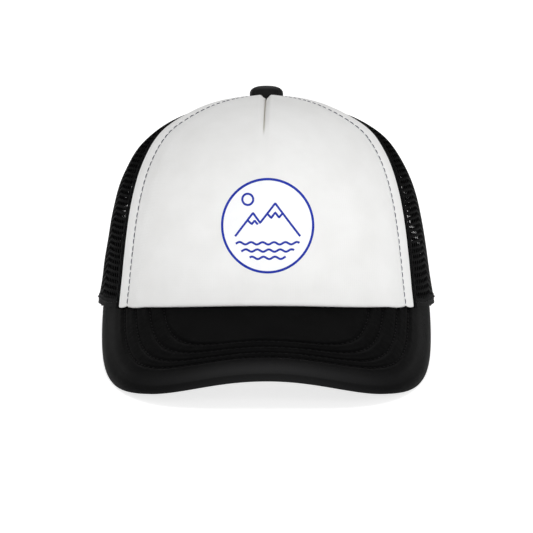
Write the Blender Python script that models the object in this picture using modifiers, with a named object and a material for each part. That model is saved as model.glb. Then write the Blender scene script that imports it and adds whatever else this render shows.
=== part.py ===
"""Trucker mesh cap: a foam-fronted crown with mesh sides and back, a curved padded visor and a snap strap.

Everything is modelled in the crown's own frame: the origin is the middle of the head opening, the front
faces -Y and +Z runs up to the button. The parent empty then leans the cap back as it stands on a table, on
the two corners of its visor and on its rear hem. Left and right are the wearer's, so left is +X.
"""

import math

import bmesh
import bpy
from mathutils import Matrix, Vector

MM = 0.001

# Crown: an oval head opening, and meridians that are one Bezier curve each.
HALF_WIDTH = 84.5 * MM
HALF_LENGTH = 101.0 * MM
CROWN_HEIGHT = 102.0 * MM
APEX_BACK = 4.0 * MM  # how far behind the middle of the opening the button sits
# The two inner control points of a meridian, as shares of the radius and of the height.
SIDE_PROFILE = ((0.898, 0.397), (0.985, 0.945))
FRONT_PROFILE = ((0.955, 0.400), (0.955, 1.105))
REAR_PROFILE = ((0.960, 0.380), (0.930, 0.985))
TOP_HOLE = 3.0 * MM  # radius of the hole that the button's tack goes through

# Seams between the panels, as angles from the front.
FRONT_SEAM = 57.3
FRONT_SEAM_TURN = 10.0  # how far it swings forward on its way over the top
REAR_SEAM = 122.0
GAP = 0.3 * MM  # between pieces that touch

# Layers of the crown, as (inner, outer) distances from the outside of the mesh.
MESH_LAYER = (-0.9 * MM, 0.0)
FOAM_LAYER = (-1.2 * MM, 1.1 * MM)
FACE_THICKNESS = 0.5 * MM
TAPE_LAYER = (-2.2 * MM, -1.5 * MM)
INTERLINING_LAYER = (-3.3 * MM, -2.5 * MM)
FLANGE_LAYER = (-3.3 * MM, -2.2 * MM)
SWEATBAND_LAYER = (-5.1 * MM, -3.6 * MM)

TAPE_WIDTH = 14.0 * MM
SWEATBAND_HEIGHT = 30.0 * MM
INTERLINING_HEIGHT = 25.0 * MM
BINDING_THICKNESS = 0.6 * MM
BINDING_HEIGHT = 5.0 * MM

# Half-moon opening above the strap.
ARCH_HALF_WIDTH = 47.0 * MM
ARCH_HEIGHT = 52.0 * MM

# Visor: a board bent round an arch, whose straight lines slope down to the front.
VISOR_RADIUS = 118.0 * MM
VISOR_SLOPE = math.radians(28.0)
VISOR_RISE = 7.7 * MM  # of its highest line above the side hem, where it meets the crown
VISOR_REACH = 59.0 * MM  # from the crown to its front edge, at the middle
VISOR_HALF_WIDTH = 80.5 * MM
VISOR_END_X = 81.5 * MM  # where its root ends on the hem
VISOR_SIDE_POWER = 3.1
VISOR_FRONT_POWER = 3.7
ARCH_TURN_X = 55.0 * MM  # outside this the arch drops faster than its circle
ARCH_EXTRA = 8.0 * MM
ARCH_POWER = 2.2
VISOR_TUCK = 3.4 * MM  # how far the visor goes in under the crown
COVER_THICKNESS = 0.5 * MM
PADDING_THICKNESS = 1.3 * MM
BOARD_THICKNESS = 1.4 * MM

# Snap strap, along the hem line at the back.
STRAP_LOW = 3.0 * MM
STRAP_HIGH = 20.0 * MM
STRAP_THICKNESS = 1.1 * MM
STRAP_TIP = 17.5 * MM  # how far each strap's tip passes the middle
STUD_PITCH = 8.0 * MM
STUD_COUNT = 7
STUD_FIRST = 12.0 * MM  # from the middle to the stud nearest the tip
STUD_FOOT = 2.2 * MM
STUD_HEAD = 1.5 * MM
STUD_HEIGHT = 2.6 * MM
SOCKET_RADIUS = 2.7 * MM
HINGE_INSET = 5.0 * MM  # from the half-moon opening's foot to a strap's bending line, clear of its edge above
HINGE_GAP = 0.7 * MM
FLANGE_LENGTH = 15.5 * MM

# Printed film on the front panel.
FILM_RADIUS = 22.3 * MM
FILM_HEIGHT = 45.3 * MM
FILM_THICKNESS = 0.2 * MM

# Button on the crown.
BUTTON_RADIUS = 8.3 * MM
BUTTON_HEIGHT = 5.2 * MM

# Care label, inside at the wearer's left.
LABEL_ANGLE = 108.0
LABEL_WIDTH = 20.0 * MM
LABEL_LENGTH = 21.0 * MM
LABEL_THICKNESS = 0.4 * MM

# How the cap stands.
STAND_LEAN = -9.17
STAND_LIFT = 13.5 * MM
STAND_BACK = 26.6 * MM

MATERIALS = {
    "white_knit": ((0.83, 0.83, 0.82), 0.85, 0.0),
    "white_foam": ((0.86, 0.85, 0.80), 0.95, 0.0),
    "black_mesh": ((0.010, 0.010, 0.011), 0.60, 0.0),
    "black_tape": ((0.014, 0.014, 0.015), 0.85, 0.0),
    "black_twill": ((0.016, 0.016, 0.017), 0.80, 0.0),
    "black_knit": ((0.012, 0.012, 0.013), 0.70, 0.0),
    "grey_foam": ((0.35, 0.35, 0.36), 0.95, 0.0),
    "visor_plastic": ((0.75, 0.75, 0.73), 0.45, 0.0),
    "black_plastic": ((0.015, 0.015, 0.016), 0.35, 0.0),
    "button_metal": ((0.62, 0.62, 0.60), 0.35, 1.0),
    "label_satin": ((0.85, 0.85, 0.84), 0.45, 0.0),
    "print_film": ((0.90, 0.90, 0.92), 0.50, 0.0),
}


def smooth(x):
    """0 below 0, 1 above 1, and an S-curve between."""
    x = min(max(x, 0.0), 1.0)
    return x * x * (3 - 2 * x)


def mix(a, b, share):
    return a + (b - a) * share


def clear_scene():
    for obj in list(bpy.data.objects):
        bpy.data.objects.remove(obj)


def make_material(name):
    colour, roughness, metallic = MATERIALS[name]
    material = bpy.data.materials.new(name)
    material.use_nodes = True
    shader = material.node_tree.nodes["Principled BSDF"]
    shader.inputs["Base Color"].default_value = (*colour, 1.0)
    shader.inputs["Roughness"].default_value = roughness
    shader.inputs["Metallic"].default_value = metallic
    return material


# ---- the crown's surface ----


def meridian(angle, t):
    """(share of the radius, share of the height) at t from the hem, 0, to the button, 1."""
    ahead = math.cos(math.radians(angle))
    end = FRONT_PROFILE if ahead > 0 else REAR_PROFILE
    share = ahead * ahead
    low, high = (
        tuple(mix(s, e, share) for s, e in zip(side, other))
        for side, other in zip(SIDE_PROFILE, end)
    )
    s = 1 - t
    radius = s**3 + 3 * s * s * t * low[0] + 3 * s * t * t * high[0]
    height = 3 * s * s * t * low[1] + 3 * s * t * t * high[1] + t**3
    return radius, height


def arch(x):
    """How far the visor's cross-section has dropped at x, and its slope there."""
    rise = math.sqrt(VISOR_RADIUS**2 - x * x)
    past = max(abs(x) - ARCH_TURN_X, 0.0) / (VISOR_END_X - ARCH_TURN_X)
    drop = VISOR_RADIUS - rise + ARCH_EXTRA * past**ARCH_POWER
    extra = ARCH_EXTRA * ARCH_POWER * past ** (ARCH_POWER - 1) / (VISOR_END_X - ARCH_TURN_X)
    return drop, x / rise + math.copysign(extra, x)


def visor_height(x, y):
    """Height of the visor's upper surface above or below a point."""
    back = HALF_LENGTH + y
    return VISOR_RISE + back * math.tan(VISOR_SLOPE) - arch(x)[0] / math.cos(VISOR_SLOPE)


VISOR_END_Y = -HALF_LENGTH * math.sqrt(1 - (VISOR_END_X / HALF_WIDTH) ** 2)
HEM_LEVEL_Y = 14.0 * MM  # behind this the hem is flat


def hem_height(x, y):
    """Height of the crown's lower edge: it lies on the visor in front and is flat behind."""
    reach = smooth((HEM_LEVEL_Y - y) / (HEM_LEVEL_Y - VISOR_END_Y))
    end = min(abs(x), VISOR_END_X) if y > VISOR_END_Y else abs(x)
    return reach * (visor_height(end, min(y, VISOR_END_Y)) + GAP)


def bare_crown(angle, t):
    radius, height = meridian(angle, t)
    a = math.radians(angle)
    x = HALF_WIDTH * radius * math.sin(a)
    y = -HALF_LENGTH * radius * math.cos(a) + APEX_BACK * height
    return Vector((x, y, CROWN_HEIGHT * height + hem_height(x, y) * (1 - height)))


def crown_normal(angle, t):
    step = 1e-3
    across = bare_crown(angle + 0.5, t) - bare_crown(angle - 0.5, t)
    up = bare_crown(angle, min(t + step, 1.0)) - bare_crown(angle, max(t - step, 0.0))
    return across.cross(up).normalized()


def crown(angle, t, out=0.0):
    """A point this far outside the crown's surface. The hem's edge follows the visor at any distance."""
    base = bare_crown(angle, t)
    point = base + crown_normal(angle, t) * out
    edge = hem_height(point.x, point.y)
    point.z += (edge + base.z - hem_height(base.x, base.y) - point.z) * (1 - t) ** 8
    return point


def t_at(angle, height):
    """The t of the point this high above the hem, measured up the crown's frame."""
    low, high = 0.0, 1.0
    foot = bare_crown(angle, 0.0).z
    for _ in range(40):
        middle = (low + high) / 2
        if bare_crown(angle, middle).z - foot < height:
            low = middle
        else:
            high = middle
    return low


def top_t(angle, radius):
    """The t at which the crown is this far from the button's axis."""
    low, high = 0.5, 1.0
    for _ in range(40):
        middle = (low + high) / 2
        if HALF_WIDTH * meridian(angle, middle)[0] > radius:
            low = middle
        else:
            high = middle
    return low


def front_seam(t):
    return FRONT_SEAM - FRONT_SEAM_TURN * smooth((meridian(FRONT_SEAM, t)[1] - 0.77) / 0.23)


def gap_angle(angle, t):
    """Half of the gap between two panels, as an angle."""
    return math.degrees(GAP / 2 / (HALF_WIDTH * max(meridian(angle, t)[0], 0.02)))


# ---- making solids ----


def slab(name, columns, rows, place, material):
    """A closed body made from a grid with two layers: place(u, v, w) says where each of its corners goes, with
    u and v from 0 to 1 along the grid and w 0 on the inner layer and 1 on the outer one."""
    bm = bmesh.new()
    bmesh.ops.create_grid(bm, x_segments=columns, y_segments=rows, size=0.5)
    made = bmesh.ops.extrude_face_region(bm, geom=bm.faces[:])
    top = [v for v in made["geom"] if isinstance(v, bmesh.types.BMVert)]
    bmesh.ops.translate(bm, verts=top, vec=(0, 0, 1))
    for v in bm.verts:
        v.co = place(v.co.x + 0.5, v.co.y + 0.5, v.co.z)
    return add_object(name, bm, material)


def add_object(name, bm, material, smooth_angle=35.0):
    if bm.faces:
        bmesh.ops.recalc_face_normals(bm, faces=bm.faces)
        if bm.calc_volume(signed=True) < 0:
            bmesh.ops.reverse_faces(bm, faces=bm.faces)
    mesh = bpy.data.meshes.new(name)
    bm.to_mesh(mesh)
    bm.free()
    mesh.shade_smooth()
    mesh.set_sharp_from_angle(angle=math.radians(smooth_angle))
    mesh.materials.append(materials[material])
    obj = bpy.data.objects.new(name, mesh)
    cap_parts.objects.link(obj)
    obj.parent = stand
    return obj


def turned(name, profile, material, centre, steps=24):
    """A turned piece. Its outline is in (radius, height), down its outer side and back up inside."""
    bm = bmesh.new()
    corners = [bm.verts.new((r, 0, z)) for r, z in profile]
    for a, b in zip(corners, corners[1:] + corners[:1]):
        bm.edges.new((a, b))
    obj = add_object(name, bm, material)
    obj.location = centre
    screw = obj.modifiers.new("turn", "SCREW")
    screw.steps = screw.render_steps = steps
    screw.use_merge_vertices = True
    screw.merge_threshold = 0.00001
    return obj


def crown_sheet(name, material, columns, rows, angles, heights, layer):
    """A panel of the crown. angles(t) gives its two sides, heights(angle) its lowest and highest t, and
    layer(u, t) its inner and outer distances."""

    def place(u, v, w):
        t = v
        for _ in range(3):  # the sides and the ends depend on each other
            left, right = angles(t)
            angle = mix(left, right, u)
            low, high = heights(angle)
            t = mix(low, high, v)
        inner, outer = layer(u, t)
        return crown(angle, t, mix(inner, outer, w))

    return slab(name, columns, rows, place, material)


# ---- crown panels ----


def foam_share(u, t):
    """How thick the front foam is: it is pressed flat under the button and thinner along its seams."""
    radius = HALF_WIDTH * meridian(0.0, t)[0]
    crown_end = smooth((radius - 9 * MM) / (22 * MM))
    side = smooth((0.5 - abs(u - 0.5)) / 0.07)
    return mix(0.12, 1.0, crown_end) * mix(0.2, 1.0, side)


def foam_layer(u, t):
    share = foam_share(u, t)
    return mix(MESH_LAYER[0], FOAM_LAYER[0], share), FOAM_LAYER[1] * share


def face_layer(u, t):
    inner = foam_layer(u, t)[1] + GAP
    return inner, inner + FACE_THICKNESS


def make_front_panel():
    def angles(t):
        edge = front_seam(t) - gap_angle(0.0, t)
        return -edge, edge

    def heights(angle):
        return 0.0, top_t(angle, TOP_HOLE)

    for name, material, layer in (
        ("front_panel_foam", "white_foam", foam_layer),
        ("front_panel_face", "white_knit", face_layer),
    ):
        crown_sheet(name, material, 20, 15, angles, heights, layer)


def mirrored(angles, side):
    """The same span on the wearer's left, side 1, or right, side -1."""

    def turned_angles(t):
        first, last = angles(t)
        return side * first, side * last

    return turned_angles


VISOR_END_ANGLE = 1.5 + math.degrees(math.asin(VISOR_END_X / HALF_WIDTH))


def mesh_foot(angle):
    """Height of the mesh's lower edge above the hem: inside the binding, or on the visor in front of it."""
    return (BINDING_THICKNESS + 2 * GAP) * smooth((angle - VISOR_END_ANGLE + 15) / 8)


def make_side_mesh(name, side):
    def angles(t):
        return (
            front_seam(t) + gap_angle(60.0, t),
            REAR_SEAM - gap_angle(120.0, t),
        )

    def heights(angle):
        return t_at(angle, mesh_foot(abs(angle))), top_t(angle, TOP_HOLE)

    def layer(u, t):
        return MESH_LAYER

    crown_sheet(name, "black_mesh", 10, 16, mirrored(angles, side), heights, layer)


ARCH_CORNER = 180 - math.degrees(math.asin((ARCH_HALF_WIDTH + BINDING_THICKNESS + GAP) / HALF_WIDTH))


def make_rear_mesh(name, side):
    """The columns stand closer together where the half-moon opening's edge is steep."""
    columns, plain = 16, 0.3125

    def place(u, v, w):
        if u <= plain:
            share = u / plain
            angle_low = mix(REAR_SEAM, ARCH_CORNER, share)
            foot = BINDING_THICKNESS + GAP
        else:
            turn = math.pi / 2 * (u - plain) / (1 - plain)
            fold = BINDING_THICKNESS + GAP
            x = (ARCH_HALF_WIDTH + fold) * math.cos(turn)
            angle_low = 180 - math.degrees(math.asin(x / HALF_WIDTH))
            foot = max(fold, (ARCH_HEIGHT + fold) * math.sin(turn))
        low = t_at(angle_low, foot)
        t = mix(low, top_t(angle_low, TOP_HOLE), v)
        near = REAR_SEAM + gap_angle(120.0, t)
        far = 180 - gap_angle(180.0, t)
        angle = min(max(angle_low, near), far)
        return crown(side * angle, t, mix(*MESH_LAYER, w))

    slab(name, columns, 14, place, "black_mesh")


# ---- tapes and bindings ----


def make_seam_tape(name, angle_at, foot, rows=16):
    """A tape inside the crown, along the seam at angle_at(t), from foot above the hem to the button."""

    def place(u, v, w):
        t = mix(t_at(angle_at(0.0), foot), top_t(90.0, 9.5 * MM), v)
        middle = angle_at(t)
        half = math.degrees(TAPE_WIDTH / 2 / (HALF_LENGTH * meridian(middle, t)[0]))
        half = min(half, 24.0)
        return crown(middle + mix(-half, half, u), t, mix(*TAPE_LAYER, w))

    slab(name, 3, rows, place, "black_tape")


def fold_point(j, w):
    """(distance out, distance from the edge) of a binding's fold: down outside, across, and up inside."""
    outer = MESH_LAYER[1] + GAP
    inner = MESH_LAYER[0] - GAP
    fold = BINDING_THICKNESS
    if w < 0.5:
        return ((outer, BINDING_HEIGHT), (outer, fold), (inner, fold), (inner, BINDING_HEIGHT))[j]
    return (
        (outer + fold, BINDING_HEIGHT),
        (outer + fold, 0.0),
        (inner - fold, 0.0),
        (inner - fold, BINDING_HEIGHT),
    )[j]


def make_hem_binding(name, side):
    arch_side = ARCH_HALF_WIDTH + BINDING_HEIGHT + GAP
    last = 180 - math.degrees(math.asin(arch_side / HALF_WIDTH))
    first = VISOR_END_ANGLE + 0.2

    def place(u, v, w):
        angle = mix(first, last, u)
        out, height = fold_point(round(v * 3), w)
        return crown(side * angle, t_at(angle, height), out)

    slab(name, 22, 3, place, "black_tape")


def make_arch_binding():
    def place(u, v, w):
        turn = math.pi * u
        out, into = fold_point(round(v * 3), w)
        x = (ARCH_HALF_WIDTH + into) * math.cos(turn)
        height = (ARCH_HEIGHT + into) * math.sin(turn)
        angle = 180 - math.degrees(math.asin(x / HALF_WIDTH))
        return crown(angle, t_at(angle, max(height, 0.0)), out)

    slab("rear_arch_binding", 40, 3, place, "black_tape")


# ---- sweatband ----


def make_band(name, last, height, layer, columns, rows, material):
    """A band round the inside of the opening, from the hem up. Its ends are beside the half-moon opening."""

    def place(u, v, w):
        angle = mix(-last, last, u)
        return crown(angle, t_at(angle, height * v), mix(*layer, w))

    slab(name, columns, rows, place, material)


def rear_angle(x):
    return 180 - math.degrees(math.asin(x / HALF_WIDTH))


def make_sweatband():
    end = rear_angle(ARCH_HALF_WIDTH + 0.5 * MM)
    make_band("sweatband", end, SWEATBAND_HEIGHT, SWEATBAND_LAYER, 44, 4, "black_twill")
    inner_end = rear_angle(ARCH_HALF_WIDTH - HINGE_INSET + FLANGE_LENGTH + 3 * MM)
    make_band(
        "sweatband_interlining",
        inner_end,
        INTERLINING_HEIGHT,
        INTERLINING_LAYER,
        40,
        2,
        "grey_foam",
    )


def make_care_label():
    """A small flat tag that hangs from the sweatband's upper edge."""
    top = crown(LABEL_ANGLE, t_at(LABEL_ANGLE, SWEATBAND_HEIGHT - 2 * MM), SWEATBAND_LAYER[0] - 1.6 * MM)
    bm = bmesh.new()
    bmesh.ops.create_cube(bm, size=1.0)
    bmesh.ops.scale(bm, vec=(LABEL_THICKNESS, LABEL_WIDTH, LABEL_LENGTH), verts=bm.verts)
    bmesh.ops.translate(bm, vec=(0, 0, -LABEL_LENGTH / 2), verts=bm.verts)
    label = add_object("care_label", bm, "label_satin")
    outward = crown_normal(LABEL_ANGLE, t_at(LABEL_ANGLE, SWEATBAND_HEIGHT))
    label.location = top
    label.rotation_euler = (0, 0, math.atan2(outward.y, outward.x))


# ---- visor ----


def visor_point(x, run, depth):
    """A point of the visor: x across, run down the slope from the crown, and depth under its top."""
    drop, slope = arch(x)
    length = math.hypot(1.0, slope)
    x -= depth * slope / length
    drop += depth / length
    y = -HALF_LENGTH - run * math.cos(VISOR_SLOPE) + drop * math.sin(VISOR_SLOPE)
    z = VISOR_RISE - run * math.sin(VISOR_SLOPE) - drop * math.cos(VISOR_SLOPE)
    return Vector((x, y, z))


def visor_root(share, inset):
    """(x, run) where the visor meets the crown, from one end, -1, to the other, 1, and inset inside it."""
    x = share * VISOR_END_X
    y = -(HALF_LENGTH - inset) * math.sqrt(1 - (x / HALF_WIDTH) ** 2)
    return x, (arch(x)[0] * math.sin(VISOR_SLOPE) - HALF_LENGTH - y) / math.cos(VISOR_SLOPE)


def visor_rim(share, inset):
    """(x, run) of the visor's outer edge, as a superellipse, inset all along it."""
    start = visor_root(1.0, 0.0)[1]
    turn = math.pi / 2 * (1 - abs(share))
    wide = VISOR_HALF_WIDTH - inset * 0.7
    long = VISOR_REACH - start - inset
    x = wide * math.cos(turn) ** (2 / VISOR_SIDE_POWER)
    run = start + long * math.sin(turn) ** (2 / VISOR_FRONT_POWER)
    return math.copysign(x, share), run


def make_visor_layer(name, top, bottom, inset, material, lip=0.0):
    """One layer between two depths. A layer with a lip turns down over the others' edges."""
    rows = 8 if lip else 7

    def place(u, v, w):
        share = 2 * u - 1
        row = round(v * rows)
        across = min(row / 7, 1.0)
        # The outer layer of a turned-down lip stands one thickness further out.
        edge = inset if not lip or w > 0.5 else inset + (bottom - top)
        root, rim = visor_root(share * 0.998, VISOR_TUCK), visor_rim(share, edge)
        x, run = mix(root[0], rim[0], across), mix(root[1], rim[1], across)
        depth = top if w > 0.5 else bottom
        if row > 7:
            depth = lip
        return visor_point(x, run, depth)

    slab(name, 40, rows, place, material)


def make_visor():
    """Cover, padding, board and under cover, from the top down."""
    padding_top = COVER_THICKNESS + GAP
    board_top = padding_top + PADDING_THICKNESS + GAP
    under_top = board_top + BOARD_THICKNESS + GAP
    inside = COVER_THICKNESS + GAP
    make_visor_layer("visor_top_cover", 0.0, COVER_THICKNESS, 0.0, "black_knit", lip=under_top - GAP)
    make_visor_layer("visor_padding", padding_top, padding_top + PADDING_THICKNESS, inside, "grey_foam")
    make_visor_layer(
        "visor_board", board_top, board_top + BOARD_THICKNESS, inside + 1.2 * MM, "visor_plastic"
    )
    make_visor_layer("visor_under_cover", under_top, under_top + COVER_THICKNESS, 0.2 * MM, "black_knit")


# ---- button ----


def make_button():
    apex = bare_crown(0.0, 1.0)
    base = 1.9 * MM  # the button's lower edge, above the flattened front panel
    top = base + BUTTON_HEIGHT
    cloth = 0.5 * MM

    def dome(radius, low, high, points=6):
        """The rounded outer side of a flat dome, from its top down to its rim."""
        arc = (math.pi / 2 * k / (points - 1) for k in range(points))
        return [(radius * math.sin(a) ** 0.75, low + (high - low) * math.cos(a) ** 0.75) for a in arc]

    shell_top = top - cloth - GAP
    shell_low = base + 0.3 * MM + cloth + GAP
    metal = 0.4 * MM
    lip = BUTTON_RADIUS - 2.2 * MM
    outer = dome(BUTTON_RADIUS, base + 1.2 * MM, top)
    inner = dome(BUTTON_RADIUS - cloth, base + 1.2 * MM, top - cloth)
    cover = [
        *outer,
        (BUTTON_RADIUS - 0.8 * MM, base + 0.3 * MM),
        (lip, base),
        (lip, base + cloth),
        (BUTTON_RADIUS - 1.1 * MM, base + 0.3 * MM + cloth),
        *reversed(inner),
    ]
    turned("button_cover", cover, "black_knit", apex)
    shell_radius = BUTTON_RADIUS - cloth - GAP
    shell = [
        *dome(shell_radius, shell_low + 0.5 * MM, shell_top),
        (shell_radius - metal, shell_low),
        *reversed(dome(shell_radius - metal, shell_low + 0.5 * MM, shell_top - metal)),
    ]
    turned("button_shell", shell, "button_metal", apex)
    plate_top, plate_low = -2.4 * MM, -3.1 * MM
    shank, head = 1.1 * MM, 3.2 * MM
    head_top = shell_top - metal - GAP
    tack = [
        (0.0, head_top),
        (head, head_top),
        (head, head_top - 0.8 * MM),
        (shank, head_top - 0.8 * MM),
        (shank, plate_low - GAP),
        (2.0 * MM, plate_low - GAP),
        (1.6 * MM, plate_low - GAP - 0.7 * MM),
        (0.0, plate_low - GAP - 0.7 * MM),
    ]
    turned("button_tack", tack, "button_metal", apex, steps=16)
    plate = [
        (1.4 * MM, plate_top),
        (7.0 * MM, plate_top),
        (7.0 * MM, plate_low),
        (1.4 * MM, plate_low),
    ]
    turned("button_back_plate", plate, "button_metal", apex, steps=24)


# ---- snap strap ----


def strap_place(along, height, out):
    """A point of a strap: along the back of the hem from the middle, up from the hem, out from the crown."""
    angle = 180 - math.degrees(arc_to_turn(along))
    return crown(angle, t_at(angle, height), out)


def arc_to_turn(along):
    """The angle from the middle of the back to the point this far along the hem's oval."""
    turn, gone, step = 0.0, 0.0, 0.25 * MM
    while gone < abs(along) - 1e-9:
        piece = min(step, abs(along) - gone)
        turn += piece / math.hypot(HALF_WIDTH * math.cos(turn), HALF_LENGTH * math.sin(turn))
        gone += piece
    return math.copysign(turn, along)


def flat_strap(first, last):
    """A flat bar on the X axis with a rounded tip at the end furthest from the hinge, as a bmesh."""
    bm = bmesh.new()
    bmesh.ops.create_cube(bm, size=1.0)
    height = STRAP_HIGH - STRAP_LOW
    bmesh.ops.scale(bm, vec=(last - first, height, STRAP_THICKNESS), verts=bm.verts)
    bmesh.ops.translate(bm, vec=((first + last) / 2, (STRAP_LOW + STRAP_HIGH) / 2, 0), verts=bm.verts)
    tip = last if abs(last) < abs(first) else first
    ends = [e for e in bm.edges if all(abs(v.co.x - tip) < 1e-6 for v in e.verts)]
    corners = [e for e in ends if e.calc_length() < 0.01]
    bmesh.ops.bevel(
        bm, geom=corners, offset=5.5 * MM, offset_type="OFFSET", segments=5, profile=0.5, affect="EDGES"
    )
    return bm


def helper(name, bm):
    mesh = bpy.data.meshes.new(name)
    bm.to_mesh(mesh)
    bm.free()
    obj = bpy.data.objects.new(name, mesh)
    cutters.objects.link(obj)
    obj.hide_render = True
    obj.display_type = "WIRE"
    return obj


def studs_or_holes(places, low, high, foot, head):
    """One round piece at each place along the strap, in one mesh."""
    bm = bmesh.new()
    for x in places:
        at = Matrix.Translation((x, (STRAP_LOW + STRAP_HIGH) / 2, (low + high) / 2))
        bmesh.ops.create_cone(
            bm, cap_ends=True, segments=12, radius1=foot, radius2=head, depth=high - low, matrix=at
        )
    return bm


def joined(bm, tool, operation):
    """The flat strap with the tool's pieces cut from it or joined to it."""
    bar, other = helper("bar", bm), helper("tool", tool)
    boolean = bar.modifiers.new("tool", "BOOLEAN")
    boolean.object = other
    boolean.operation = operation
    graph = bpy.context.evaluated_depsgraph_get()
    result = bmesh.new()
    result.from_mesh(bar.evaluated_get(graph).to_mesh())
    for obj in (bar, other):
        bpy.data.objects.remove(obj)
    return result


def bent(name, bm, first, last, jog, hinge):
    """Cuts the flat strap into short lengths and bends it round the crown. jog(x) is its distance out, and its
    origin goes on its hinge."""
    count = round((last - first) / (STUD_PITCH / 2))
    start = math.ceil(first / (STUD_PITCH / 2)) * STUD_PITCH / 2
    for k in range(count + 1):
        x = start + k * STUD_PITCH / 2
        if first + 0.5 * MM < x < last - 0.5 * MM:
            everything = [*bm.verts, *bm.edges, *bm.faces]
            bmesh.ops.bisect_plane(bm, geom=everything, plane_co=(x, 0, 0), plane_no=(1, 0, 0), dist=1e-6)
    bmesh.ops.triangulate(bm, faces=[f for f in bm.faces if len(f.verts) > 4])
    for v in bm.verts:
        v.co = strap_place(v.co.x, v.co.y, jog(v.co.x) + v.co.z) - hinge
    strap = add_object(name, bm, "black_plastic")
    strap.location = hinge


def make_straps():
    """The socket strap comes from the wearer's right and lies outside the stud strap, from the left."""
    root = arc_of_x(ARCH_HALF_WIDTH - HINGE_INSET)
    inner = (FLANGE_LAYER[0] + FLANGE_LAYER[1]) / 2
    outer = inner + STRAP_THICKNESS + GAP
    places = [STUD_FIRST - k * STUD_PITCH for k in range(STUD_COUNT)]
    hinges = [strap_place(side * root, (STRAP_LOW + STRAP_HIGH) / 2, inner) for side in (-1, 1)]

    def socket_jog(x):
        return mix(inner, outer, smooth((x + root - 3 * MM) / (18 * MM)))

    def stud_jog(x):
        return inner

    sheet = flat_strap(-root + HINGE_GAP / 2, STRAP_TIP)
    holes = studs_or_holes(places, -2 * MM, 2 * MM, SOCKET_RADIUS, SOCKET_RADIUS)
    socket = joined(sheet, holes, "DIFFERENCE")
    bent("socket_strap", socket, -root + HINGE_GAP / 2, STRAP_TIP, socket_jog, hinges[0])
    sheet = flat_strap(-STRAP_TIP, root - HINGE_GAP / 2)
    foot = STRAP_THICKNESS / 2 - 0.3 * MM
    spread = STUD_FOOT + (STUD_FOOT - STUD_HEAD) * 0.3 * MM / STUD_HEIGHT
    studs = studs_or_holes(
        [-x for x in places], foot, STRAP_THICKNESS / 2 + STUD_HEIGHT, spread, STUD_HEAD
    )
    stud = joined(sheet, studs, "UNION")
    bent("stud_strap", stud, -STRAP_TIP, root - HINGE_GAP / 2, stud_jog, hinges[1])
    for name, side in (("socket_strap_flange", -1), ("stud_strap_flange", 1)):
        make_flange(name, side, root, inner)


def arc_of_x(x):
    """How far along the hem from the middle of the back the point at this x is."""
    low, high = 0.0, 2 * x
    for _ in range(30):
        middle = (low + high) / 2
        if HALF_WIDTH * math.sin(arc_to_turn(middle)) < x:
            low = middle
        else:
            high = middle
    return low


def make_flange(name, side, root, out):
    """The thin end of a strap that is sewn in between the binding and the sweatband."""
    near, far = root + HINGE_GAP / 2, root + FLANGE_LENGTH

    def place(u, v, w):
        along = side * mix(near, far, u)
        height = mix(STRAP_LOW, STRAP_HIGH, v)
        return strap_place(along, height, out + mix(-0.5, 0.5, w) * STRAP_THICKNESS)

    slab(name, 4, 2, place, "black_plastic")


# ---- printed film ----


def make_film():
    """A round printed film on the front panel, square grid pulled out to a circle."""
    face = FOAM_LAYER[1] + GAP + FACE_THICKNESS + GAP

    def place(u, v, w):
        a, b = 2 * u - 1, 2 * v - 1
        x = FILM_RADIUS * a * math.sqrt(1 - b * b / 2)
        up = FILM_RADIUS * b * math.sqrt(1 - a * a / 2)
        angle = math.degrees(x / (0.97 * (HALF_WIDTH**2 / HALF_LENGTH)))
        for _ in range(6):
            t = t_at(angle, FILM_HEIGHT + up * 0.985 - bare_crown(angle, 0).z)
            if abs(x) > 1e-6:
                angle *= x / crown(angle, t, face).x
        return crown(angle, t, face + FILM_THICKNESS * w)

    slab("front_print_film", 10, 10, place, "print_film")


def main():
    make_front_panel()
    for side, word in ((1, "left"), (-1, "right")):
        make_side_mesh(f"{word}_side_mesh", side)
        make_rear_mesh(f"{word}_rear_mesh", side)
        make_hem_binding(f"{word}_hem_binding", side)
        make_seam_tape(f"{word}_front_seam_tape", lambda t, s=side: s * front_seam(t), BINDING_HEIGHT + GAP)
        make_seam_tape(f"{word}_rear_seam_tape", lambda t, s=side: s * REAR_SEAM, BINDING_HEIGHT + GAP)
    foot = ARCH_HEIGHT + BINDING_HEIGHT + 2 * GAP
    make_seam_tape("centre_back_seam_tape", lambda t: 180.0, foot, rows=10)
    make_arch_binding()
    make_sweatband()
    make_care_label()
    make_visor()
    make_button()
    make_straps()
    make_film()
    stand.rotation_euler = (math.radians(STAND_LEAN), 0, 0)
    stand.location = (0, STAND_BACK, STAND_LIFT)


clear_scene()
cap_parts = bpy.data.collections.new("trucker_cap")
cutters = bpy.data.collections.new("cutters")
for collection in (cap_parts, cutters):
    bpy.context.scene.collection.children.link(collection)
stand = bpy.data.objects.new("stand", None)
cap_parts.objects.link(stand)
materials = {name: make_material(name) for name in MATERIALS}
main()
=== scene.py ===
"""Looks of the trucker mesh cap: foam front, mesh, stitched visor, bindings, sweatband and snap strap.

The surfaces are functions of the crown's own frame, with the CAD's numbers, in millimetres and degrees.
add_mesh turns them into the row's frame, in metres.
"""

import math

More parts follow.
